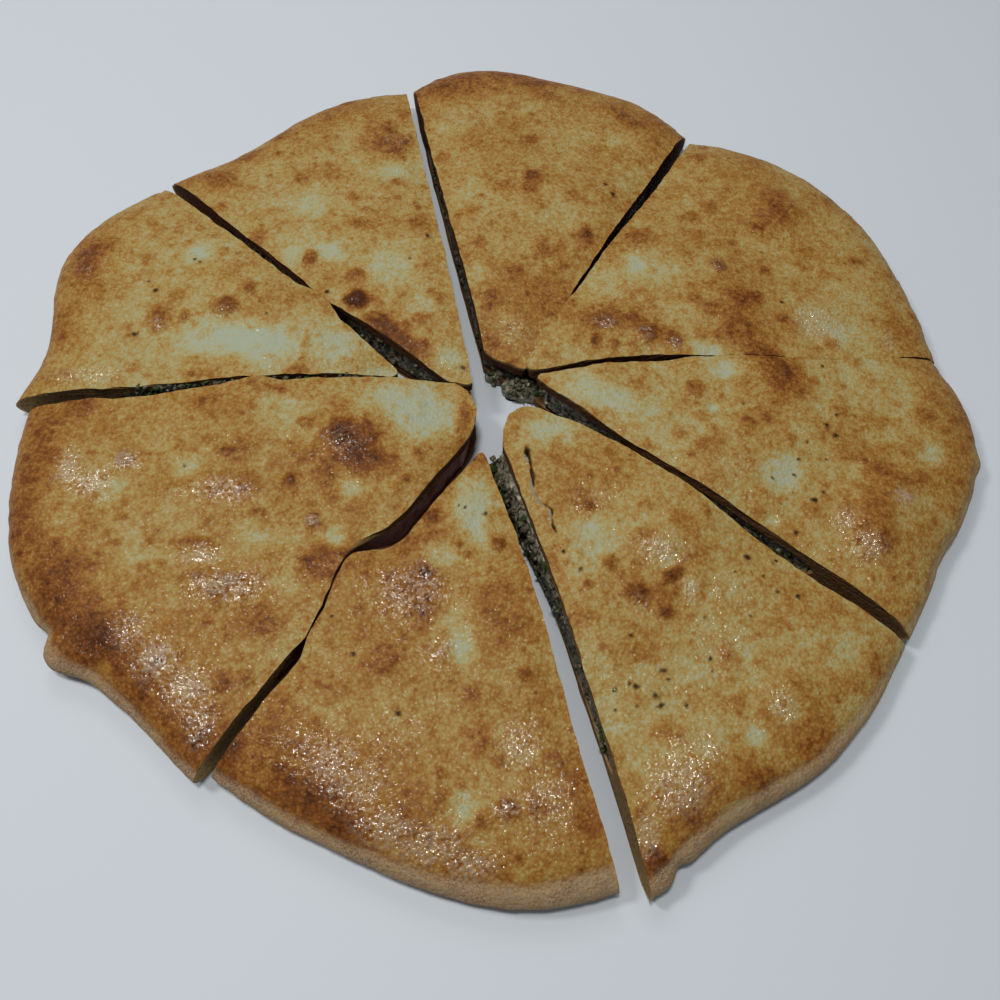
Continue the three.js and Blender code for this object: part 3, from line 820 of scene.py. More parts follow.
@dataclass(frozen=True)
class Crust:
    """The relief and browning of the bread's whole top, as it was before the cuts.

    swell, ripple and grain lift it, clouds, mottle and freckle brown it, and outline, outline_fine and
    fray make the marks' edges wander. speck_edge and butter_edge are where those marks begin and are
    full, as shares of their size, below zero. The tear wanders too, stops and starts, and has shreds of
    crust beside it; its crack is sunk and painted dark as shade. tear_core and shred_core are the shares
    of their widths that show in full.
    """

    swell: Unevenness = Unevenness(0.55, 24.0, seed=1, layered=False)
    ripple: Unevenness = Unevenness(0.16, 8.0, seed=2, layered=False)
    grain: Unevenness = Unevenness(0.07, 2.4, seed=3)
    clouds: Unevenness = Unevenness(0.12, 28.0, seed=5)
    mottle: Unevenness = Unevenness(0.13, 8.0, seed=8)
    freckle: Unevenness = Unevenness(0.11, 2.8, seed=13)
    brown_lift: float = 1.3
    small: BlisterField = BlisterField(
        spacing=5.0, chance=0.65, radius=(0.7, 2.4), steepness=0.13, tint=0.15, seed=11,
    )
    middling: BlisterField = BlisterField(
        spacing=13.0, chance=0.55, radius=(2.2, 5.5), steepness=0.1, tint=0.17, seed=23,
    )
    outline: Unevenness = Unevenness(0.28, 7.0, seed=17)
    outline_fine: Unevenness = Unevenness(0.14, 2.2, seed=18)
    fray: Unevenness = Unevenness(0.55, 0.8, seed=20, layered=False)
    mark_strength: float = 1.2
    mark_reach: float = 0.95
    blister_reach: float = 1.25
    speck_edge: Pair = (-1.2, -0.3)
    butter_edge: Pair = (-1.35, -0.3)
    tear_wander: Unevenness = Unevenness(0.5, 2.4, seed=19)
    tear_stops: Unevenness = Unevenness(1.0, 3.2, seed=29, layered=False)
    tear_stop_range: Pair = (-0.5, -0.1)
    tear_width: float = 0.42
    tear_core: float = 0.2
    tear_depth: float = 1.2
    # How dark the tear's crack is painted, as shade
    tear_shade: float = 0.95
    shred_stops: Unevenness = Unevenness(1.0, 2.2, seed=30, layered=False)
    shred_stop_range: Pair = (-0.05, 0.25)
    shred_shift: Pair = (0.7, 0.1)
    shred_width: float = 0.6
    shred_core: float = 0.5
    shred_height: float = 0.3

    def tear_distance(self, points: Array) -> Array:
        """Return how far points lie from the line of the tear."""
        corners = [CAMERA.point_at(pixel, CRUST_LEVEL) for pixel in TEAR_PIXELS]
        nearest = np.full(points.shape[:-1], np.inf)
        for start, end in zip(corners, corners[1:]):
            run = end - start
            share = np.clip((points - start) @ run / (run @ run), 0, 1)
            aside = points - start - share[..., None] * run
            nearest = np.minimum(nearest, np.linalg.norm(aside, axis=-1))
        return nearest

    def sample(self, points: Array) -> CrustSample:
        """Work out the crust at level points.

        Args:
            points: places in millimetres.

        Returns:
            The crust's relief, browning, charred specks and the tear's painted shade, torn shreds and
            shine there.
        """
        lift = self.swell.at(points) + self.ripple.at(points) + self.grain.at(points)
        toast = self.clouds.at(points) + self.mottle.at(points) + self.freckle.at(points)
        lift += self.brown_lift * toast
        for strewn in (self.small, self.middling):
            rise, top = strewn.sample(points)
            lift += rise
            toast += strewn.tint * top
        burnt_and_shade = np.zeros(points.shape[:-1])
        shine = np.zeros(points.shape[:-1])
        wander = 1 + self.outline.at(points) + self.outline_fine.at(points)
        fray = 1 + self.fray.at(points)
        for mark in MARKS:
            distance = mark.distance(points) * wander
            browner = self.mark_strength * mark.toast * np.exp(-((distance / self.mark_reach) ** 3))
            dome = np.clip(1 - (distance / self.blister_reach) ** 2, 0, None) ** 2
            toast += browner
            lift += mark.lift * dome + self.brown_lift * browner
            burnt_and_shade = np.maximum(burnt_and_shade, mark.burnt_and_shade * smoothstep(-distance * fray, *self.speck_edge))
            shine = np.maximum(shine, mark.shine * smoothstep(-distance, *self.butter_edge))
        ragged = self.tear_wander.at(points)
        crack_at = self.tear_distance(points) + ragged
        crack = smoothstep(-crack_at, -self.tear_width, -self.tear_core * self.tear_width)
        crack *= smoothstep(self.tear_stops.at(points), *self.tear_stop_range)
        shred_at = self.tear_distance(points + np.array(self.shred_shift)) + ragged
        torn = smoothstep(-shred_at, -self.shred_width, -self.shred_core * self.shred_width)
        torn *= (1 - crack) * smoothstep(self.shred_stops.at(points), *self.shred_stop_range)
        # The tear's crack is painted dark as shade
        burnt_and_shade = np.maximum(burnt_and_shade, self.tear_shade * crack)
        lift += self.shred_height * torn - self.tear_depth * crack
        return CrustSample(lift, toast, burnt_and_shade, torn, shine)


def deselect_all() -> None:
    """Deselect every object, so that an operator acts on the next one alone."""
    bpy.ops.object.select_all(action="DESELECT")


def select_only(*pieces: bpy.types.Object) -> None:
    """Select these objects alone and make the first of them active."""
    deselect_all()
    for piece in pieces:
        piece.select_set(True)
    bpy.context.view_layer.objects.active = pieces[0]


def name_piece(piece: bpy.types.Object, name: str) -> None:
    """Name an object and its mesh."""
    piece.name = name
    piece.data.name = name


def add_block(name: str, steps_x: int, steps_y: int, layers: int) -> tuple[bpy.types.Object, Array]:
    """Make a closed unit block of small faces, ready to be shaped.

    A grid is extruded up into a slab, and the edges through the slab are subdivided.

    Args:
        name: name of the new object.
        steps_x: faces along x.
        steps_y: faces along y.
        layers: faces through the slab.

    Returns:
        The object and, for each vertex, its shares of the way along x, y and z.
    """
    deselect_all()
    bpy.ops.mesh.primitive_grid_add(x_subdivisions=steps_x, y_subdivisions=steps_y, size=1.0)
    block = bpy.context.object
    name_piece(block, name)
    bpy.ops.object.mode_set(mode="EDIT")
    bpy.ops.mesh.select_mode(type="EDGE")
    bpy.ops.mesh.select_all(action="SELECT")
    bpy.ops.mesh.extrude_region_move(TRANSFORM_OT_translate={"value": (0, 0, 1)})
    bpy.ops.mesh.select_all(action="DESELECT")
    bpy.ops.object.mode_set(mode="OBJECT")
    ends = np.empty(len(block.data.edges) * 2, dtype=np.int32)
    block.data.edges.foreach_get("vertices", ends)
    heights = vertex_places(block)[:, 2][ends.reshape(-1, 2)]
    block.data.edges.foreach_set("select", heights[:, 0] != heights[:, 1])
    bpy.ops.object.mode_set(mode="EDIT")
    bpy.ops.mesh.subdivide(number_cuts=layers - 1)
    bpy.ops.mesh.select_all(action="SELECT")
    bpy.ops.mesh.normals_make_consistent(inside=False)
    bpy.ops.object.mode_set(mode="OBJECT")
    return block, vertex_places(block) + np.array((0.5, 0.5, 0.0))


def vertex_places(piece: bpy.types.Object) -> Array:
    """Return the places of a mesh's vertices, one row each."""
    places = np.empty(len(piece.data.vertices) * 3)
    piece.data.vertices.foreach_get("co", places)
    return places.reshape(-1, 3)


def set_places(piece: bpy.types.Object, places: Array) -> None:
    """Move a mesh's vertices to places in millimetres."""
    piece.data.vertices.foreach_set("co", (places * MM).ravel())
    piece.data.update()


def set_attribute(piece: bpy.types.Object, name: str, values: Array) -> None:
    """Store one value for each vertex, for a material to read."""
    attribute = piece.data.attributes.new(name, "FLOAT", "POINT")
    attribute.data.foreach_set("value", values.astype(np.float32))


def triangle_count(piece: bpy.types.Object) -> int:
    """Return how many triangles a mesh comes to."""
    piece.data.calc_loop_triangles()
    return len(piece.data.loop_triangles)


def finish_piece(
    piece: bpy.types.Object, material: bpy.types.Material, slot: Slot, *nodes: str,
) -> None:
    """Give a piece its material, tie it to the part and report it.

    Args:
        piece: the finished mesh object.
        material: its finish.
        slot: the record's material slot; not used.
        nodes: the solids that it stands for.
    """
    piece.data.materials.clear()
    piece.data.materials.append(material)
    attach(piece, "root")
    if nodes:
        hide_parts(*nodes)
    LOG.info("%s: %d triangles", piece.name, triangle_count(piece))


@dataclass
class DoughSheet:
    """The dough of one slice: a sheet folded at the rim round the filling, with its baked crust.

    The rim's floury band wanders and fades over floury_edge, and the rim's browning is strongest at
    toasted_inset. Low on the rim the crust's own relief grows weaker and crinkles take its place, and a
    seam runs along a band wider than seam_band. The base is dimpled, and the crust's edges are uneven
    at the cuts and the tip.
    """

    plan: SlicePlan
    crust: Crust
    top_steps: int = 180
    roll_steps: int = 24
    tuck_steps: int = 10
    bottom_steps: int = 20
    across_steps: int = 168
    layers: int = 5
    gather: float = 0.35
    inner_share: float = 0.05
    smooth_angle: float = 55.0
    near_rim: float = 0.9
    floury_wander: Unevenness = Unevenness(0.9, 7.0, seed=31)
    floury_edge: Pair = (-1.3, 0.9)
    toasted_inset: float = 7.0
    toasted_reach: float = 11.0
    base_toast: float = 0.3
    crinkle: Unevenness = Unevenness(0.4, 9.0, seed=37)
    crinkle_fine: Unevenness = Unevenness(0.12, 2.6, seed=41, layered=False)
    crinkle_reach: float = 8.0
    crinkle_calm: float = 0.6
    seam_depth: float = 0.45
    seam_width: float = 0.9
    seam_band: float = 1.2
    dimples: Unevenness = Unevenness(1.0, 6.0, seed=43)
    dimple_depth: float = 0.5
    dimple_share: float = 0.4
    edge_wander: Unevenness = Unevenness(0.5, 5.0, seed=61)
    tip_wander: Unevenness = Unevenness(1.3, 5.0, seed=67)
    edge_reach: float = 2.0
    cut_ragged: float = 0.35
    cut_drag: Unevenness = Unevenness(0.5, 2.2, seed=47)
    # Painted shade on the cuts begins and is full this far under the skin, in millimetres
    cut_shade_depth: Pair = (0.3, 1.3)
    # Painted shade on the base's cut end at the tip
    tip_base_shade: float = 0.9

    @property
    def fold_steps(self) -> int:
        """Faces along the whole fold."""
        return self.top_steps + self.roll_steps + self.tuck_steps + self.bottom_steps

    def stations(self) -> tuple[Array, Array]:
        """Return the run and the share of that run at each line along the fold."""
        runs: list[Run] = [Run.TOP]
        shares: list[float] = [0.0]
        counts = (self.top_steps, self.roll_steps, self.tuck_steps, self.bottom_steps)
        for run, count in zip(Run, counts):
            runs += [run] * count
            shares += [(step + 1) / count for step in range(count)]
        return np.array(runs), np.array(shares)

    def across_lines(self) -> Array:
        """Return the shares across at which the lines lie, a little closer together at the cuts."""
        even = np.linspace(0, 1, self.across_steps + 1)
        return even - self.gather * np.sin(2 * np.pi * even) / (2 * np.pi)

    def skin(self) -> tuple[Array, Array, Array, dict[str, Array]]:
        """Work out the outer and inner faces of the sheet on a grid, fold lines by across lines.

        Returns:
            The outer places, the inner places, the shares of the way from tip to rim and the named
            values that the crust's material reads.
        """
        runs, shares = self.stations()
        across = np.broadcast_to(self.across_lines(), (len(runs), self.across_steps + 1))
        share = np.broadcast_to(shares[:, None], across.shape)
        top, roll, tuck, bottom = ((runs == run)[:, None] for run in Run)
        turn = np.where(roll, (1 - share) * np.pi / 2, np.where(tuck, share * np.pi / 2, np.pi / 2))
        length = self.plan.length(across)
        inset = np.select(
            (top, roll, tuck),
            (
                lerp(length, SIZES.rim_roll, share),
                SIZES.rim_roll * (1 - np.cos(turn)),
                SIZES.rim_tuck * (1 - np.cos(turn)),
            ),
            lerp(SIZES.rim_tuck, length, share),
        )
        level = self.plan.place(across, inset)
        lift = broad_lift(level)
        shoulder = self.plan.crust_height(across, np.full_like(inset, SIZES.rim_roll))
        height = np.select(
            (top, roll, tuck),
            (
                self.plan.crust_height(across, inset) + lift,
                lerp(SIZES.edge_height, shoulder + lift, np.sin(turn)),
                SIZES.edge_height * (1 - np.sin(turn)),
            ),
            0.0,
        )
        sample = self.crust.sample(level)
        band = through_three(self.plan.flour_band, across) + self.floury_wander.at(level)
        under = np.where(tuck | bottom, 1.0, 0.0)
        flour = np.maximum(under, roll * smoothstep(band - inset, *self.floury_edge))
        relief = self.rim_relief(across, inset, level, band, roll, tuck, bottom, sample)
        fall = np.where(tuck | bottom, -np.sin(turn), np.sin(turn))
        out = self.plan.plan_point(across, np.ones_like(across))
        out -= self.plan.plan_point(across, np.full_like(across, self.near_rim))
        out /= np.linalg.norm(out, axis=-1, keepdims=True)
        reach = np.where(top | bottom, 0.0, np.cos(turn))
        outer = np.concatenate((level, height[..., None]), axis=-1)
        outer[..., :2] += out * (reach * relief)[..., None]
        outer[..., 2] = np.maximum(outer[..., 2] + fall * relief, 0.0)
        along = 1 - inset / length
        felt = np.select((top, roll), (1.0, np.sin(turn)), 0.0)
        outer += self.bulges(across, along) * felt[..., None]
        outer[..., :2] += self.ragged_edges(across, along, level, out)
        toasted = np.exp(-(((inset - self.toasted_inset) / self.toasted_reach) ** 2))
        on_top = self.plan.toast + sample.toast + through_three(self.plan.rim_toast, across) * toasted
        values = {
            "toast": np.where(bottom, self.base_toast + sample.toast, on_top),
            "flour": flour,
            "burnt_and_shade": sample.burnt_and_shade * (1 - under),
            "torn": sample.torn * (1 - under),
            "shine": sample.shine * (1 - under),
        }
        return outer, self.inner_face(across, share, turn, length, top, roll, tuck), along, values

    def ragged_edges(self, across: Array, along: Array, level: Array, out: Array) -> Array:
        """Work out how uneven the crust's edges are at the cuts and the tip.

        Args:
            across: shares across the slice.
            along: shares of the way from the tip to the rim.
            level: level places.
            out: level directions from the tip to the rim.

        Returns:
            Level moves in millimetres.
        """
        width = self.plan.width(along)
        wave = self.edge_wander.at(level)
        moves = np.zeros_like(level)
        for side, share in ((Side.LEFT, across), (Side.RIGHT, 1 - across)):
            weight = np.exp(-((share * width / self.edge_reach) ** 2))
            moves += (wave * weight)[..., None] * self.plan.outwards(side)
        weight = np.exp(-((along * self.plan.length(across) / self.edge_reach) ** 2))
        return moves + (self.tip_wander.at(level) * weight)[..., None] * out

    def bulges(self, across: Array, along: Array) -> Array:
        """Work out how the crust bulges over its cuts.

        Args:
            across: shares across the slice.
            along: shares of the way from the tip to the rim.

        Returns:
            Moves in millimetres.
        """
        moves = np.zeros(across.shape + (3,))
        width = self.plan.width(along)
        for fit in self.plan.fits:
            share = across if fit.side is Side.LEFT else 1 - across
            weight = fit.weight(along, share * width)
            moves[..., :2] += (weight * fit.push(along))[..., None] * self.plan.outwards(fit.side)
            moves[..., 2] += weight * fit.lift
        return moves

    def cut_shade(self, row: Array, column: Array, sunk: Array, along: Array) -> Array:
        """Work out the painted shade on the cut faces, for the shadowed gaps between slices and the tips.

        Args:
            row: the fold line that each vertex is on.
            column: the line across that each vertex is on.
            sunk: how far each vertex lies under the skin, in millimetres.
            along: each vertex's share of the way from the tip to the rim.

        Returns:
            A value from 0 to 1 for each vertex.
        """
        # Painted shade on the cuts that face shadowed gaps and at the tips, below a thin skin
        shade = np.where(column == 0, lerp(*self.plan.left_shade, along), 0.0)
        shade = np.where(column == self.across_steps, lerp(*self.plan.right_shade, along), shade)
        deep = smoothstep(sunk, *self.cut_shade_depth)
        tip = np.where(row == 0, deep, self.tip_base_shade * (row == self.fold_steps))
        return np.maximum(shade * deep, tip)

    def rim_relief(
        self, across: Array, inset: Array, level: Array, band: Array,
        roll: Array, tuck: Array, bottom: Array, sample: CrustSample,
    ) -> Array:
        """Work out how far the skin stands out of its smooth form.

        Args:
            across: shares across the slice.
            inset: distances in from the rim.
            level: level places.
            band: width of the floury edge.
            roll: which lines are on the roll.
            tuck: which lines are on the tuck.
            bottom: which lines are on the underside.
            sample: the crust at those places.

        Returns:
            Relief in millimetres, outwards.
        """
        width = np.linalg.norm(self.plan.corner(Side.RIGHT) - self.plan.corner(Side.LEFT))
        lumps = np.zeros_like(across)
        for lump in self.plan.lumps:
            lumps += lump.out * np.exp(-(((across - lump.across) * width / lump.width) ** 2))
        crinkle = self.crinkle.at(level) + self.crinkle_fine.at(level)
        low = np.clip(1 - inset / self.crinkle_reach, 0, 1)
        seam = -self.seam_depth * np.exp(-(((inset - band) / self.seam_width) ** 2))
        seam *= band > self.seam_band
        on_roll = sample.lift * (1 - self.crinkle_calm * low) + seam + (crinkle + lumps * low) * low
        on_tuck = crinkle + lumps
        dimples = -self.dimple_depth * np.clip(self.dimple_share + self.dimples.at(level), 0, 1)
        return np.select((roll, tuck, bottom), (on_roll, on_tuck, dimples), sample.lift)

    def inner_face(
        self, across: Array, share: Array, turn: Array, length: Array,
        top: Array, roll: Array, tuck: Array,
    ) -> Array:
        """Work out the face of the sheet that lies against the filling.

        Args:
            across: shares across the slice.
            share: shares of each run of the fold.
            turn: angle round the rim.
            length: length of the slice.
            top: which lines are on the top.
            roll: which lines are on the roll.
            tuck: which lines are on the tuck.

        Returns:
            Places in millimetres.
        """
        rolled = SIZES.rim_dough + SIZES.filling_roll * (1 - np.cos(turn))
        inset = np.select(
            (top, roll | tuck),
            (lerp(length, SIZES.filling_shoulder, share), rolled),
            lerp(SIZES.filling_shoulder, length, share),
        )
        at_shoulder = np.full_like(inset, SIZES.filling_shoulder)
        ceiling = self.plan.crust_height(across, at_shoulder) - SIZES.top_crust
        middle = (ceiling + SIZES.bottom_crust) / 2
        height = np.select(
            (top, roll, tuck),
            (
                self.plan.crust_height(across, inset) - SIZES.top_crust,
                lerp(middle, ceiling, np.sin(turn)),
                lerp(middle, SIZES.bottom_crust, np.sin(turn)),
            ),
            SIZES.bottom_crust,
        )
        return np.concatenate((self.plan.place(across, inset), height[..., None]), axis=-1)

    def build(self, material: bpy.types.Material) -> bpy.types.Object:
        """Model the sheet and dress it.

        Args:
            material: the crust's finish.

        Returns:
            The finished object.
        """
        name = f"slice_{self.plan.number}_crust"
        sheet, shares = add_block(name, self.fold_steps, self.across_steps, self.layers)
        outer, inner, along, values = self.skin()
        row = np.rint(shares[:, 0] * self.fold_steps).astype(int)
        column = np.rint(shares[:, 1] * self.across_steps).astype(int)
        through = shares[:, 2]
        skin, depth = outer[row, column], inner[row, column] - outer[row, column]
        places = skin + depth * (through ** 2)[:, None]
        sunk = np.linalg.norm(depth, axis=-1) * through ** 2
        places = self.ragged_cuts(places, column, through)
        set_places(sheet, places)
        is_skin = through == 0
        for key, grid in values.items():
            set_attribute(sheet, key, np.where(is_skin, grid[row, column], 0.0))
        set_attribute(sheet, "crumb", np.where(is_skin, 0.0, 1.0))
        set_attribute(sheet, "cut_shade", self.cut_shade(row, column, sunk, np.clip(along[row, column], 0, 1)))
        self.thin_inner_face(sheet, through)
        select_only(sheet)
        bpy.ops.object.shade_smooth_by_angle(angle=math.radians(self.smooth_angle))
        finish_piece(sheet, material, Slot.CRUST, f"slice_{self.plan.number}_dough")
        return sheet

    def ragged_cuts(self, places: Array, column: Array, through: Array) -> Array:
        """Roughen the cut faces of the dough inwards, as a dragging knife leaves them.

        Args:
            places: the vertices' places.
            column: the line across that each vertex is on.
            through: each vertex's share of the way through the sheet.

        Returns:
            The roughened places.
        """
        torn = self.cut_ragged * (0.5 + self.cut_drag.at(places)) * np.sin(np.pi * through)
        for side, line in ((Side.LEFT, 0), (Side.RIGHT, self.across_steps)):
            on_cut = column == line
            places[on_cut, :2] -= torn[on_cut, None] * self.plan.outwards(side)
        return places

    def thin_inner_face(self, sheet: bpy.types.Object, through: Array) -> None:
        """Collapse the faces that lie hidden against the filling into far fewer."""
        corners = np.empty(len(sheet.data.loops), dtype=np.int32)
        sheet.data.loops.foreach_get("vertex_index", corners)
        hidden = (through[corners] == 1).reshape(-1, 4).all(axis=1)
        bpy.context.view_layer.objects.active = sheet
        bpy.ops.object.mode_set(mode="EDIT")
        bpy.ops.mesh.select_mode(type="FACE")
        bpy.ops.mesh.select_all(action="DESELECT")
        bpy.ops.object.mode_set(mode="OBJECT")
        sheet.data.polygons.foreach_set("select", hidden)
        bpy.ops.object.mode_set(mode="EDIT")
        bpy.ops.mesh.select_less()
        bpy.ops.mesh.decimate(ratio=self.inner_share)
        bpy.ops.object.mode_set(mode="OBJECT")


def broad_lift(points: Array) -> Array:
    """Return how far the broad blisters lift the crust at level points."""
    lift = np.zeros(points.shape[:-1])
    for x, y, reach, height in BROAD_BLISTERS:
        distance = np.linalg.norm(points - np.array((x, y)), axis=-1)
        lift += height * np.exp(-((distance / reach) ** 2))
    return lift


@dataclass
class FillingCore:
    """The filling of one slice, a moist mass of minced meat that fills the fold and shows at the cuts.

    Its cut faces are lumpy, more so where they have spilled out, and flatten towards their upper and
    lower edges. Cuts that show no loose bits are painted with a red-brown shade, for the shadowed gaps
    they face.
    """

    plan: SlicePlan
    top_steps: int = 110
    roll_steps: int = 14
    across_steps: int = 12
    rows: int = 12
    smooth_angle: float = 70.0
    lumps: Unevenness = Unevenness(1.0, 3.4, seed=53)
    lump_base: float = 0.35
    edge_power: float = 0.3
    spill_lumps: float = 3.0
    gap_shade_share: float = 0.95

    @property
    def along_steps(self) -> int:
        """Faces from the tip to the blunt end near the rim."""
        return self.top_steps + self.roll_steps

    def build(self, material: bpy.types.Material) -> bpy.types.Object:
        """Model the filling and dress it.

        Args:
            material: the filling's finish.

        Returns:
            The finished object.
        """
        name = f"slice_{self.plan.number}_mince"
        core, shares = add_block(name, self.across_steps, self.along_steps, self.rows)
        set_places(core, self.places(shares))
        hidden = 1 - np.array(self.plan.crumb_share)
        # Painted shade on the cuts that show no loose bits, which face shadowed gaps
        set_attribute(core, "cut_shade", self.gap_shade_share * np.where(shares[:, 0] < 0.5, *hidden))
        select_only(core)
        bpy.ops.object.shade_smooth_by_angle(angle=math.radians(self.smooth_angle))
        finish_piece(core, material, Slot.FILLING, f"slice_{self.plan.number}_filling")
        return core

    def places(self, shares: Array) -> Array:
        """Work out where the block's vertices go.

        Args:
            shares: each vertex's shares of the way across, along and up.

        Returns:
            Places in millimetres.
        """
        even = shares[:, 0]
        across = (1 - np.cos(np.pi * even)) / 2
        step = np.rint(shares[:, 1] * self.along_steps)
        length = self.plan.length(across)
        rolled = np.maximum(step - self.top_steps, 0) / self.roll_steps
        turn = np.radians(lerp(90, SIZES.filling_nose, rolled))
        on_roll = SIZES.rim_dough + SIZES.filling_gap + SIZES.filling_roll * (1 - np.cos(turn))
        on_top = lerp(length - self.plan.tip_inset, SIZES.filling_shoulder, step / self.top_steps)
        inset = np.where(step < self.top_steps, on_top, on_roll)
        under_crust = self.plan.crust_height(across, np.maximum(inset, SIZES.filling_shoulder))
        ceiling = under_crust - SIZES.top_crust - SIZES.filling_gap
        floor = SIZES.bottom_crust + SIZES.filling_gap
        middle = (ceiling + floor) / 2
        upper = lerp(middle, ceiling, np.sin(turn))
        lower = lerp(middle, floor, np.sin(turn))
        height = lerp(lower, upper, shares[:, 2])
        places = np.column_stack((self.plan.place(across, inset), height))
        lumps = self.lumps.at(places) - self.lump_base
        edge = np.sin(np.pi * shares[:, 2]) ** self.edge_power
        along = 1 - inset / length
        for side, line in ((Side.LEFT, 0.0), (Side.RIGHT, 1.0)):
            on_cut = even == line
            spill = self.plan.spilled(side, along, shares[:, 2])
            standing = lumps * edge * (1 + spill / self.spill_lumps) + spill - SIZES.filling_recess
            places[on_cut, :2] += standing[on_cut, None] * self.plan.outwards(side)
        on_tip = step == 0
        places[on_tip, :2] -= (lumps * edge)[on_tip, None] * direction(sum(self.plan.cuts) / 2)
        return places


@dataclass(frozen=True)
class CrumbKind:
    """One kind of bit in the filling.

    half_length is its range of half lengths, flatness its half thickness as a share of that and
    raggedness how uneven it is. per_cut is how many a plain cut shows and spilled how many lie on a full
    heap.
    """

    name: str
    half_length: Pair
    flatness: Pair
    raggedness: float
    per_cut: int
    spilled: int
    seed: int


MEAT_CRUMBS = CrumbKind("meat_crumbs", (0.4, 1.4), (0.4, 0.9), 0.6, per_cut=46, spilled=55, seed=101)
HERB_FLECKS = CrumbKind("herb_flecks", (0.5, 1.5), (0.1, 0.4), 0.5, per_cut=20, spilled=28, seed=103)
ONION_BITS = CrumbKind("onion_bits", (0.3, 0.9), (0.3, 0.6), 0.45, per_cut=7, spilled=7, seed=107)


@dataclass(frozen=True)
class Heap:
    """A little heap of dropped filling: its pixel, half width and half depth, height and share of bits."""

    pixel: Pair
    size: Pair
    height: float
    share: float


HEAPS = (Heap((525, 393), (7.0, 4.4), 6.2, 1.0), Heap((503, 381), (5.5, 2.4), 5.0, 0.4))


@dataclass
class DroppedFilling:
    """The mash that has dropped between the tips, in low mounds that carry loose bits, as one mesh."""

    heaps: tuple[Heap, ...] = HEAPS
    segments: int = 40
    rings: int = 24
    lumps: Unevenness = Unevenness(0.4, 3.0, seed=59)

    def build(self, material: bpy.types.Material) -> bpy.types.Object:
        """Model the mounds and dress them.

        Args:
            material: the filling's finish.

        Returns:
            The finished object.
        """
        mounds: list[bpy.types.Object] = []
        for heap in self.heaps:
            bpy.ops.mesh.primitive_uv_sphere_add(
                segments=self.segments, ring_count=self.rings, radius=1.0,
            )
            mound = bpy.context.object
            ball = vertex_places(mound) * np.array((*heap.size, heap.height))
            lumps = 1 + self.lumps.at(ball)
            places = ball * lumps[:, None] + np.array((*CAMERA.point_at(heap.pixel, 0.0), 0.0))
            places[:, 2] = np.maximum(places[:, 2], SIZES.filling_gap)
            set_places(mound, places)
            mounds.append(mound)
        select_only(*mounds)
        bpy.ops.object.join()
        dropped = mounds[0]
        name_piece(dropped, "dropped_mince")
        dropped.data.shade_smooth()
        finish_piece(dropped, material, Slot.FILLING)
        return dropped


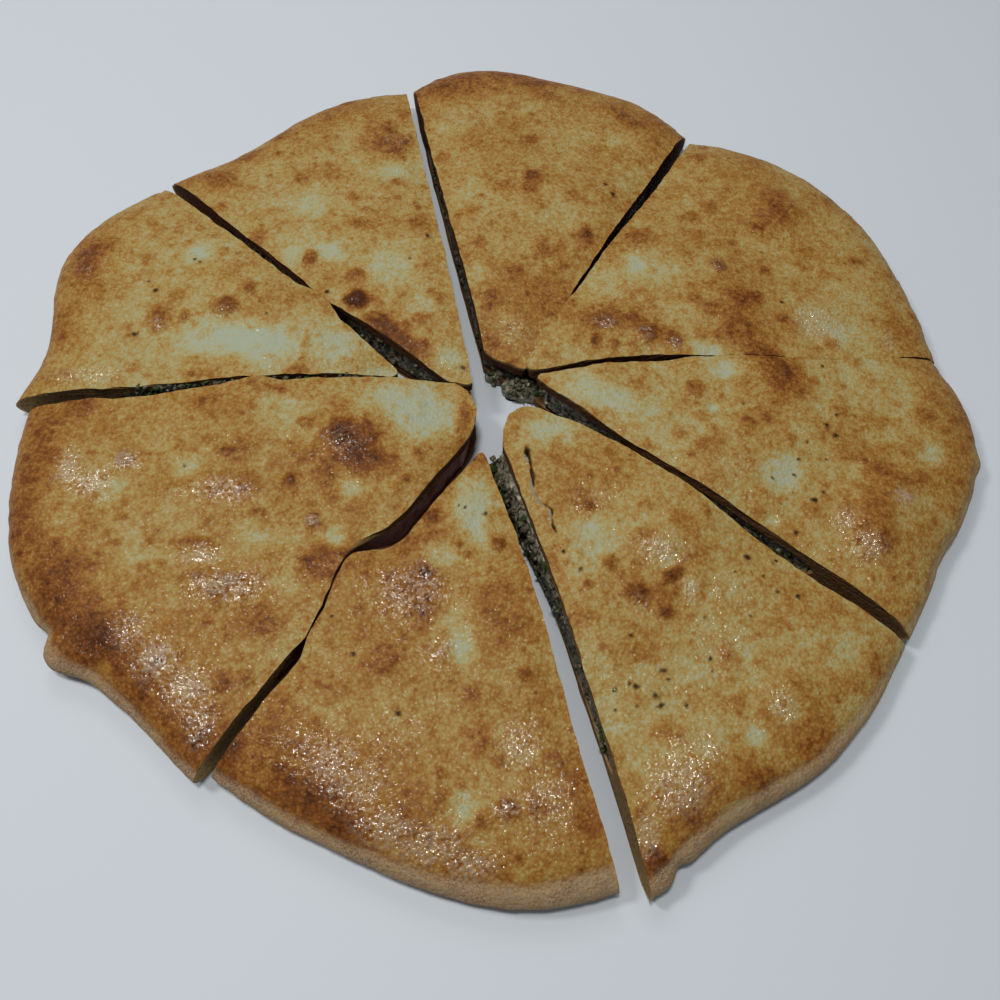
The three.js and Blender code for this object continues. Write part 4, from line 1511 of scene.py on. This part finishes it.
@dataclass
class Crumbs:
    """All the bits of one kind that stand out of the filling or have dropped from it, as one mesh.

    width is a bit's half width as a share of its half length. More bits show on a cut that spills or is
    smeared. They stay clear of the rim and the crust, but a smear drags them over the crust's cut. sunk
    and smear_sunk are how far a bit's middle stands out of the cut, below zero if inside it. The heaps'
    bits are finer and lie on the heaps.
    """

    kind: CrumbKind
    heaps: tuple[Heap, ...] = HEAPS
    segments: int = 6
    rings: int = 5
    width: Pair = (0.5, 1.0)
    bump_length: float = 1.3
    bump_seed: int = 3
    pattern_span: float = 90.0
    off_floor: float = 0.05
    busy_cut: float = 1.8
    smeared_cut: float = 4.0
    bold_smear: float = 2.0
    smear_depth: float = 4.5
    sunk: Pair = (-1.4, -0.3)
    smear_sunk: Pair = (-0.5, 0.3)
    off_rim: float = 6.0
    off_crust: float = 1.0
    heap_fineness: float = 0.9
    heap_spread: float = 0.6
    heap_foot: float = 0.4
    heap_skin: Pair = (0.75, 1.0)

    def build(self, material: bpy.types.Material) -> bpy.types.Object:
        """Model the bits and dress them.

        Args:
            material: the bits' finish.

        Returns:
            The finished object.
        """
        draw = np.random.default_rng(self.kind.seed)
        deselect_all()
        bpy.ops.mesh.primitive_uv_sphere_add(segments=self.segments, ring_count=self.rings, radius=1.0)
        pieces = bpy.context.object
        name_piece(pieces, self.kind.name)
        bpy.ops.object.mode_set(mode="EDIT")
        bpy.ops.mesh.quads_convert_to_tris()
        bpy.ops.object.mode_set(mode="OBJECT")
        shape = vertex_places(pieces)
        corners = np.array([face.vertices for face in pieces.data.polygons])
        on_cuts = self.cut_places(draw)
        dropped = self.spilled_places(draw)
        middles = np.array(on_cuts + dropped)
        count = len(middles)
        size = draw.uniform(*self.kind.half_length, (count, 1, 1))
        size[len(on_cuts):] *= self.heap_fineness
        stretch = np.ones((count, 1, 3))
        stretch[:, 0, 1] = draw.uniform(*self.width, count)
        stretch[:, 0, 2] = draw.uniform(*self.kind.flatness, count)
        patterns = shape[None] + draw.uniform(0, self.pattern_span, (count, 1, 3))
        bumps = 1 + self.kind.raggedness * rough_noise(patterns, self.bump_length, self.bump_seed)
        shaped = shape[None] * bumps[..., None] * stretch * size
        turned = np.einsum("nij,nvj->nvi", self.turns(draw, count), shaped)
        places = (middles[:, None] + turned).reshape(-1, 3)
        places[:, 2] = np.maximum(places[:, 2], self.off_floor)
        faces = (corners[None] + np.arange(count)[:, None, None] * len(shape)).reshape(-1, 3)
        pieces.data.clear_geometry()
        pieces.data.from_pydata((places * MM).tolist(), [], faces.tolist())
        pieces.data.shade_smooth()
        finish_piece(pieces, material, Slot.FILLING)
        return pieces

    @staticmethod
    def turns(draw: np.random.Generator, count: int) -> Array:
        """Return random turns in space, from the rows of square matrices made orthogonal."""
        return np.linalg.qr(draw.normal(size=(count, 3, 3)))[0]

    def cut_places(self, draw: np.random.Generator) -> list[Array]:
        """Return places on the cut faces of the filling, more where it spills or is smeared."""
        found: list[Array] = []
        for plan, side in itertools.product(SLICES, Side):
            smear = plan.smear[side.value]
            busy = 1.0
            if plan.spill[side.value]:
                busy = self.busy_cut
            elif smear:
                busy = self.smeared_cut
            bold = smear > self.bold_smear
            sunk = self.smear_sunk if bold else self.sunk
            count = round(self.kind.per_cut * plan.crumb_share[side.value] * busy)
            share = 0.0 if side is Side.LEFT else 1.0
            length = float(plan.length(np.array(share)))
            last = 1 - (SIZES.rim_dough + self.off_rim) / length
            for along in draw.uniform(plan.tip_inset / length, last, count):
                inset = np.array((1 - along) * length)
                under = np.maximum(inset, SIZES.filling_shoulder)
                crust = float(plan.crust_height(np.array(share), under)) - SIZES.top_crust
                ceiling = crust - self.off_crust + smear
                lowest = ceiling - self.smear_depth if bold else SIZES.bottom_crust + self.off_crust
                height = draw.uniform(lowest, ceiling)
                level = plan.cut_point(side, np.array(along))
                bulge = float(plan.spilled(side, along, (height - SIZES.bottom_crust) / ceiling))
                level = level + plan.outwards(side) * (bulge + draw.uniform(*sunk))
                found.append(np.array((*level, height)))
        return found

    def spilled_places(self, draw: np.random.Generator) -> list[Array]:
        """Return places on the heaps that have dropped between the tips, higher at their middles."""
        found: list[Array] = []
        for heap in self.heaps:
            middle = CAMERA.point_at(heap.pixel, 0.0)
            for _ in range(round(self.kind.spilled * heap.share)):
                offset = direction(draw.uniform(0, 360)) * draw.uniform(0, 1) ** self.heap_spread
                dome = math.sqrt(max(0.0, 1 - np.hypot(*offset) ** 2))
                height = self.heap_foot + draw.uniform(*self.heap_skin) * heap.height * dome
                found.append(np.array((*(middle + offset * np.array(heap.size)), height)))
        return found


def add_node(
    tree: Tree,
    kind: str,
    inputs: dict[str | int, object] | None = None,
    **settings: object,
) -> bpy.types.Node:
    """Add a shader node, set its options and fill or link its inputs.

    Args:
        tree: the material's node tree.
        kind: the node's type name.
        inputs: values or other nodes' sockets, by input name or number.
        settings: the node's own options.

    Returns:
        The new node.
    """
    node = tree.nodes.new(kind)
    for name, value in settings.items():
        setattr(node, name, value)
    for name, value in (inputs or {}).items():
        if isinstance(value, Socket):
            tree.links.new(value, node.inputs[name])
        else:
            node.inputs[name].default_value = value
    return node


def new_tree(name: str) -> tuple[bpy.types.Material, Tree]:
    """Return a new material and its empty node tree."""
    material = bpy.data.materials.new(name)
    material.use_nodes = True
    material.node_tree.nodes.clear()
    return material, material.node_tree


def per_metre(millimetres: float) -> float:
    """Return the texture scale whose pattern repeats about every so many millimetres."""
    return 1 / (millimetres * MM)


def set_ramp(node: bpy.types.Node, stops: tuple[tuple[float, str], ...]) -> None:
    """Set the stops of a colour ramp from positions and hex colours."""
    ramp = node.color_ramp
    while len(ramp.elements) > 1:
        ramp.elements.remove(ramp.elements[-1])
    ramp.elements[0].position = stops[0][0]
    ramp.elements[0].color = linear(stops[0][1])
    for position, colour in stops[1:]:
        ramp.elements.new(position).color = linear(colour)


@dataclass(frozen=True)
class BakedCrust:
    """Wheat dough baked on a hot pan and brushed with butter.

    It gives the eye blond to dark brown mottling over a fine pebbled grain, with painted light on the
    grains' middles and painted shade between them, a thin butter gloss that sparkles on some grains and
    a painted pale sheen where the butter lies thick, a dull floury edge and base, and an open crumb
    where it is cut, with painted shade in its pores, on the cuts that face shadowed gaps and at the tips.
    The sparkling grains and the flour are drawn coarser than they are, so that they show.
    """

    stops: tuple[tuple[float, str], ...] = (
        (0.0, "#A6AE99"), (0.15, "#AAA881"), (0.34, "#AA9256"),
        (0.54, "#9C7032"), (0.76, "#7C491C"), (1.0, "#4E2A12"),
    )
    flour: str = "#A4937A"
    crumb: str = "#B3945F"
    # Painted shade in the crumb's pores
    pore_shade: str = "#785C36"
    # Charred specks, and painted shade in the tear's crack and the tip hole
    burnt_and_shade: str = "#2C1C10"
    torn: str = "#8F8C7F"
    # Painted shade on the cut faces in the shadowed gaps between slices and at the tips
    cut_shade: str = "#50301C"
    # Painted pale sheen where the butter lies thick, for glints too fine to show
    painted_sheen: str = "#C6B89E"
    painted_sheen_share: float = 0.4
    painted_sheen_power: float = 2.0
    mottle_mm: float = 1.7
    mottle_range: Pair = (0.3, 0.7)
    mottle_shift: Pair = (-0.14, 0.15)
    grain_mm: float = 0.95
    grain_range: Pair = (0.05, 0.7)
    # Painted light on the grains' middles and painted shade between them
    grain_light_and_shade: Pair = (-0.08, 0.1)
    spark_mm: float = 0.8
    spark_range: Pair = (0.55, 0.85)
    spark_gain: float = 0.45
    peel_mm: float = 1.5
    peel_height_mm: float = 0.5
    peel_calm: float = 0.55
    grain_relief: float = 0.7
    flour_mm: float = 0.45
    flour_range: Pair = (0.38, 0.6)
    flour_cover: Pair = (0.25, 1.0)
    pore_mm: float = 1.4
    pore_range: Pair = (0.1, 0.45)
    roughness: float = 0.5
    flour_roughness: float = 0.85
    ior: float = 1.45
    specular: float = 0.14
    coat_thin: float = 0.12
    coat_thick: float = 1.0
    coat_roughness: float = 0.1
    coat_ior: float = 1.85

    def material(self) -> bpy.types.Material:
        """Build the crust's material."""
        material, tree = new_tree("baked_wheat_crust")
        coords = add_node(tree, "ShaderNodeTexCoord").outputs["Object"]
        values = {
            key: add_node(tree, "ShaderNodeAttribute", attribute_name=key).outputs["Fac"]
            for key in ("toast", "flour", "burnt_and_shade", "torn", "crumb", "cut_shade", "shine")
        }
        grain = add_node(tree, "ShaderNodeTexVoronoi", {
            "Vector": coords, "Scale": per_metre(self.grain_mm), "Randomness": 1.0,
        }).outputs["Distance"]
        wet = self.wet_grains(tree, coords, values["shine"])
        colour = self.browning(tree, coords, values, grain)
        colour = self.layering(tree, coords, values, wet, colour)
        relief = self.relief(tree, coords, values["shine"], grain)
        dull = add_node(tree, "ShaderNodeMath", {
            0: values["flour"], 1: values["crumb"],
        }, operation="MAXIMUM")
        rough = add_node(tree, "ShaderNodeMapRange", {
            "Value": dull.outputs[0], "To Min": self.roughness, "To Max": self.flour_roughness,
        })
        butter = add_node(tree, "ShaderNodeMapRange", {
            "Value": values["shine"], "To Min": self.coat_thin, "To Max": self.coat_thick,
        })
        bare = add_node(tree, "ShaderNodeMath", {
            0: 1.0, 1: dull.outputs[0],
        }, operation="SUBTRACT", use_clamp=True)
        gloss = wet
        for factor in (butter.outputs["Result"], bare.outputs[0]):
            gloss = add_node(tree, "ShaderNodeMath", {
                0: gloss, 1: factor,
            }, operation="MULTIPLY").outputs[0]
        shader = add_node(tree, "ShaderNodeBsdfPrincipled", {
            "Base Color": colour, "Roughness": rough.outputs["Result"], "Normal": relief,
            "IOR": self.ior, "Specular IOR Level": self.specular,
            "Coat Weight": gloss, "Coat Roughness": self.coat_roughness,
            "Coat IOR": self.coat_ior, "Coat Normal": relief,
        })
        add_node(tree, "ShaderNodeOutputMaterial", {"Surface": shader.outputs[0]})
        return material

    def wet_grains(self, tree: Tree, coords: Socket, shine: Socket) -> Socket:
        """Pick the grains that the butter wets, more of them where it lies thick.

        Args:
            tree: the material's node tree.
            coords: the piece's own coordinates.
            shine: how thick the butter lies.

        Returns:
            How wet each grain is, from 0 to 1.
        """
        sparks = add_node(tree, "ShaderNodeTexVoronoi", {
            "Vector": coords, "Scale": per_metre(self.spark_mm), "Randomness": 1.0,
        })
        draws = add_node(tree, "ShaderNodeSeparateColor", {"Color": sparks.outputs["Color"]})
        soaked = add_node(tree, "ShaderNodeMath", {
            0: shine, 1: self.spark_gain, 2: draws.outputs[0],
        }, operation="MULTIPLY_ADD")
        return add_node(tree, "ShaderNodeMapRange", {
            "Value": soaked.outputs[0],
            "From Min": self.spark_range[0], "From Max": self.spark_range[1],
        }).outputs["Result"]

    def browning(self, tree: Tree, coords: Socket, values: dict[str, Socket], grain: Socket) -> Socket:
        """Colour the crust by how brown it is, mottled, with painted light on its grains and painted shade
        between.

        Args:
            tree: the material's node tree.
            coords: the piece's own coordinates.
            values: the piece's attributes.
            grain: how far each place lies from the middle of its grain.

        Returns:
            The colour.
        """
        mottle = add_node(tree, "ShaderNodeTexNoise", {
            "Vector": coords, "Scale": per_metre(self.mottle_mm), "Detail": 3.0, "Roughness": 0.7,
        })
        browned = values["toast"]
        for pattern, limits, shift in (
            (mottle.outputs["Fac"], self.mottle_range, self.mottle_shift),
            (grain, self.grain_range, self.grain_light_and_shade),
        ):
            shifted = add_node(tree, "ShaderNodeMapRange", {
                "Value": pattern, "From Min": limits[0], "From Max": limits[1],
                "To Min": shift[0], "To Max": shift[1],
            })
            browned = add_node(tree, "ShaderNodeMath", {
                0: browned, 1: shifted.outputs["Result"],
            }, operation="ADD").outputs[0]
        ramp = add_node(tree, "ShaderNodeValToRGB", {"Fac": browned})
        set_ramp(ramp, self.stops)
        return ramp.outputs["Color"]

    def layering(
        self, tree: Tree, coords: Socket, values: dict[str, Socket], wet: Socket, colour: Socket,
    ) -> Socket:
        """Lay flour, painted sheen, crumb, painted shade, torn shreds and charred specks over the browned
        crust.

        Args:
            tree: the material's node tree.
            coords: the piece's own coordinates.
            values: the piece's attributes.
            wet: how wet each grain is.
            colour: the browned crust's colour.

        Returns:
            The colour with all its layers.
        """
        dust = add_node(tree, "ShaderNodeTexNoise", {
            "Vector": coords, "Scale": per_metre(self.flour_mm), "Detail": 3.0,
        })
        dusting = add_node(tree, "ShaderNodeMapRange", {
            "Value": dust.outputs["Fac"],
            "From Min": self.flour_range[0], "From Max": self.flour_range[1],
            "To Min": self.flour_cover[0], "To Max": self.flour_cover[1],
        })
        floury = add_node(tree, "ShaderNodeMath", {
            0: values["flour"], 1: dusting.outputs["Result"],
        }, operation="MULTIPLY")
        # Painted pale sheen, on the wet grains where the butter lies thick
        thick = add_node(tree, "ShaderNodeMath", {
            0: values["shine"], 1: self.painted_sheen_power,
        }, operation="POWER")
        sheen_mask = thick.outputs[0]
        for factor in (wet, self.painted_sheen_share):
            sheen_mask = add_node(tree, "ShaderNodeMath", {
                0: sheen_mask, 1: factor,
            }, operation="MULTIPLY").outputs[0]
        pores = add_node(tree, "ShaderNodeTexVoronoi", {
            "Vector": coords, "Scale": per_metre(self.pore_mm),
        })
        # Painted shade in the crumb's pores, where they lie close
        pore_shading = add_node(tree, "ShaderNodeMapRange", {
            "Value": pores.outputs["Distance"],
            "From Min": self.pore_range[0], "From Max": self.pore_range[1],
        })
        inside = add_node(tree, "ShaderNodeMix", {
            0: pore_shading.outputs["Result"], 6: linear(self.pore_shade), 7: linear(self.crumb),
        }, data_type="RGBA")
        for share, layer in (
            (floury.outputs[0], linear(self.flour)),
            (sheen_mask, linear(self.painted_sheen)),
            (values["crumb"], inside.outputs[2]),
            (values["cut_shade"], linear(self.cut_shade)),
            (values["torn"], linear(self.torn)),
            (values["burnt_and_shade"], linear(self.burnt_and_shade)),
        ):
            colour = add_node(tree, "ShaderNodeMix", {
                0: share, 6: colour, 7: layer,
            }, data_type="RGBA").outputs[2]
        return colour

    def relief(self, tree: Tree, coords: Socket, shine: Socket, grain: Socket) -> Socket:
        """Wrinkle and pebble the crust, more strongly where butter lies on it.

        Args:
            tree: the material's node tree.
            coords: the piece's own coordinates.
            shine: how thick the butter lies.
            grain: how far each place lies from the middle of its grain.

        Returns:
            The normal.
        """
        peel = add_node(tree, "ShaderNodeTexNoise", {
            "Vector": coords, "Scale": per_metre(self.peel_mm), "Detail": 2.0, "Roughness": 0.6,
        })
        pebbled = add_node(tree, "ShaderNodeMath", {
            0: grain, 1: -self.grain_relief, 2: peel.outputs["Fac"],
        }, operation="MULTIPLY_ADD")
        wrinkling = add_node(tree, "ShaderNodeMapRange", {
            "Value": shine, "To Min": self.peel_calm, "To Max": 1.0,
        })
        return add_node(tree, "ShaderNodeBump", {
            "Height": pebbled.outputs[0], "Distance": self.peel_height_mm * MM,
            "Strength": wrinkling.outputs["Result"],
        }).outputs[0]


@dataclass(frozen=True)
class MincedFilling:
    """Cooked minced meat and onion with chopped herbs.

    It gives the eye a soft grey and olive-brown mash with pits darkened by painted shade, a few pale
    bits and green flecks, a red-brown painted shade on the cuts that lie hidden in the gaps, and a moist
    broken gloss.
    """

    name: str
    stops: tuple[tuple[float, str], ...]
    pale: str = "#B9B6A4"
    pale_share: float = 0.0
    herb: str = "#3C5527"
    herb_share: float = 0.0
    # Painted shade in the mash's pits
    pit_shade: str = "#2A1A11"
    pit_shade_depth: float = 0.0
    # Red-brown painted shade for the filling's cuts in the shadowed gaps
    painted_gap_shade: str = "#8F4E34"
    mash_mm: float = 2.4
    mash_range: Pair = (0.28, 0.72)
    bit_mm: float = 1.9
    bit_edge: Pair = (0.3, 0.46)
    pit_shade_range: Pair = (0.36, 0.5)
    roughness: float = 0.55
    specular: float = 0.3
    bump_mm: float = 0.3

    def material(self) -> bpy.types.Material:
        """Build the filling's material."""
        material, tree = new_tree(self.name)
        coords = add_node(tree, "ShaderNodeTexCoord").outputs["Object"]
        mash = add_node(tree, "ShaderNodeTexNoise", {
            "Vector": coords, "Scale": per_metre(self.mash_mm), "Detail": 4.0, "Roughness": 0.7,
        })
        spread = add_node(tree, "ShaderNodeMapRange", {
            "Value": mash.outputs["Fac"],
            "From Min": self.mash_range[0], "From Max": self.mash_range[1],
        })
        ramp = add_node(tree, "ShaderNodeValToRGB", {"Fac": spread.outputs["Result"]})
        set_ramp(ramp, self.stops)
        bits = add_node(tree, "ShaderNodeTexVoronoi", {
            "Vector": coords, "Scale": per_metre(self.bit_mm), "Randomness": 1.0,
        })
        inside = add_node(tree, "ShaderNodeMapRange", {
            "Value": bits.outputs["Distance"],
            "From Min": self.bit_edge[0], "From Max": self.bit_edge[1], "To Min": 1.0, "To Max": 0.0,
        })
        draws = add_node(tree, "ShaderNodeSeparateColor", {"Color": bits.outputs["Color"]})
        colour = ramp.outputs["Color"]
        for channel, share, tint in ((0, self.pale_share, self.pale), (1, self.herb_share, self.herb)):
            chosen = add_node(tree, "ShaderNodeMath", {
                0: draws.outputs[channel], 1: 1 - share,
            }, operation="GREATER_THAN")
            shown = add_node(tree, "ShaderNodeMath", {
                0: chosen.outputs[0], 1: inside.outputs["Result"],
            }, operation="MULTIPLY")
            colour = add_node(tree, "ShaderNodeMix", {
                0: shown.outputs[0], 6: colour, 7: linear(tint),
            }, data_type="RGBA").outputs[2]
        pits = add_node(tree, "ShaderNodeTexNoise", {
            "Vector": coords, "Scale": per_metre(self.mash_mm / 2), "Detail": 2.0,
        })
        # Painted shade in the pits of the mash
        sunk = add_node(tree, "ShaderNodeMapRange", {
            "Value": pits.outputs["Fac"],
            "From Min": self.pit_shade_range[0], "From Max": self.pit_shade_range[1],
            "To Min": self.pit_shade_depth, "To Max": 0.0,
        })
        cut_shade = add_node(tree, "ShaderNodeAttribute", attribute_name="cut_shade")
        shaded = add_node(tree, "ShaderNodeMix", {
            0: sunk.outputs["Result"], 6: colour, 7: linear(self.pit_shade),
        }, data_type="RGBA")
        # Painted shade on the hidden cuts
        gap_shaded = add_node(tree, "ShaderNodeMix", {
            0: cut_shade.outputs["Fac"], 6: shaded.outputs[2], 7: linear(self.painted_gap_shade),
        }, data_type="RGBA")
        height = add_node(tree, "ShaderNodeMath", {
            0: mash.outputs["Fac"], 1: pits.outputs["Fac"],
        }, operation="ADD")
        bump = add_node(tree, "ShaderNodeBump", {
            "Height": height.outputs[0], "Distance": self.bump_mm * MM, "Strength": 1.0,
        })
        shader = add_node(tree, "ShaderNodeBsdfPrincipled", {
            "Base Color": gap_shaded.outputs[2], "Roughness": self.roughness, "Normal": bump.outputs[0],
            "Specular IOR Level": self.specular,
        })
        add_node(tree, "ShaderNodeOutputMaterial", {"Surface": shader.outputs[0]})
        return material


MINCE = MincedFilling("minced_meat_filling", (
    (0.0, "#2E281D"), (0.3, "#524C3B"), (0.55, "#777363"), (0.8, "#8B8879"), (1.0, "#625A48"),
), pale_share=0.12, herb_share=0.1, pit_shade_depth=0.9)
MASH = MincedFilling("dropped_minced_mash", (
    (0.0, "#4E4A3A"), (0.4, "#736F5C"), (0.75, "#908D7A"), (1.0, "#A3A08E"),
), pale_share=0.1, herb_share=0.14, pit_shade_depth=0.55, bump_mm=0.2)
MEAT = MincedFilling("cooked_meat_crumb", (
    (0.0, "#2A261B"), (0.35, "#4A4635"), (0.65, "#6A6655"), (1.0, "#858071"),
), pit_shade_depth=0.5)
HERB = MincedFilling("chopped_green_herb", (
    (0.0, "#202E18"), (0.5, "#324726"), (1.0, "#4E6239"),
), mash_mm=1.2)
ONION = MincedFilling("cooked_onion", (
    (0.0, "#85826F"), (0.5, "#9F9C89"), (1.0, "#B4B1A0"),
), mash_mm=1.6, roughness=0.35)


@dataclass(frozen=True)
class Lamp:
    """A square soft lamp that points at the middle of the bread."""

    name: str
    side: float
    place: Triple
    watts: float
    colour: str = "#FFFAF2"

    def add(self) -> None:
        """Add the lamp to the scene."""
        deselect_all()
        bpy.ops.object.light_add(type="AREA", location=tuple(value * MM for value in self.place))
        lamp = bpy.context.object
        lamp.name = self.name
        lamp.data.size = self.side * MM
        lamp.data.energy = self.watts
        lamp.data.color = linear(self.colour)[:3]
        lamp.rotation_euler = lamp.location.to_track_quat("Z", "Y").to_euler()


@dataclass(frozen=True)
class Studio:
    """A plain pale floor under three soft lamps, with an even pale surround."""

    floor_colour: str = "#D0DAE6"
    floor_side: float = 6000.0
    floor_drop: float = 0.05
    floor_roughness: Pair = (0.55, 0.7)
    cloud_mm: float = 180.0
    lamps: tuple[Lamp, ...] = (
        Lamp("window_lamp", side=220.0, place=(-700.0, 60.0, 1000.0), watts=4.1),
        Lamp("ceiling_lamp", side=160.0, place=(-110.0, -90.0, 1200.0), watts=5.8),
        Lamp("back_lamp", side=600.0, place=(-150.0, 760.0, 930.0), watts=2.0),
    )
    surround: str = "#E2E4E8"
    surround_strength: float = 0.17

    def floor_material(self) -> bpy.types.Material:
        """Build the floor's material, a smooth matt laminate with the faintest clouding."""
        material, tree = new_tree("pale_matt_laminate")
        coords = add_node(tree, "ShaderNodeTexCoord").outputs["Object"]
        cloud = add_node(tree, "ShaderNodeTexNoise", {
            "Vector": coords, "Scale": per_metre(self.cloud_mm), "Detail": 2.0,
        })
        rough = add_node(tree, "ShaderNodeMapRange", {
            "Value": cloud.outputs["Fac"],
            "To Min": self.floor_roughness[0], "To Max": self.floor_roughness[1],
        })
        shader = add_node(tree, "ShaderNodeBsdfPrincipled", {
            "Base Color": linear(self.floor_colour), "Roughness": rough.outputs["Result"],
        })
        add_node(tree, "ShaderNodeOutputMaterial", {"Surface": shader.outputs[0]})
        return material

    def build(self) -> None:
        """Add the floor, the lamps and the surround."""
        deselect_all()
        level = (0, 0, -self.floor_drop * MM)
        bpy.ops.mesh.primitive_plane_add(size=self.floor_side * MM, location=level)
        floor = bpy.context.object
        floor.name = "floor"
        floor.data.materials.append(self.floor_material())
        for lamp in self.lamps:
            lamp.add()
        world = bpy.data.worlds.new("pale_surround")
        world.use_nodes = True
        background = world.node_tree.nodes["Background"]
        background.inputs["Color"].default_value = linear(self.surround)
        background.inputs["Strength"].default_value = self.surround_strength
        bpy.context.scene.world = world
        bpy.context.scene.view_settings.view_transform = "Standard"


def main() -> None:
    """Build the studio, the slices, the dropped filling and the loose bits, in that order."""
    logging.basicConfig(level=logging.INFO, format="%(name)s %(message)s")
    CAMERA.add()
    Studio().build()
    crust = Crust()
    crust_finish = BakedCrust().material()
    mince_finish = MINCE.material()
    for plan in SLICES:
        DoughSheet(plan, crust).build(crust_finish)
        FillingCore(plan).build(mince_finish)
    DroppedFilling().build(MASH.material())
    for kind, finish in ((MEAT_CRUMBS, MEAT), (HERB_FLECKS, HERB), (ONION_BITS, ONION)):
        Crumbs(kind).build(finish.material())


if __name__ == "__main__":
    main()
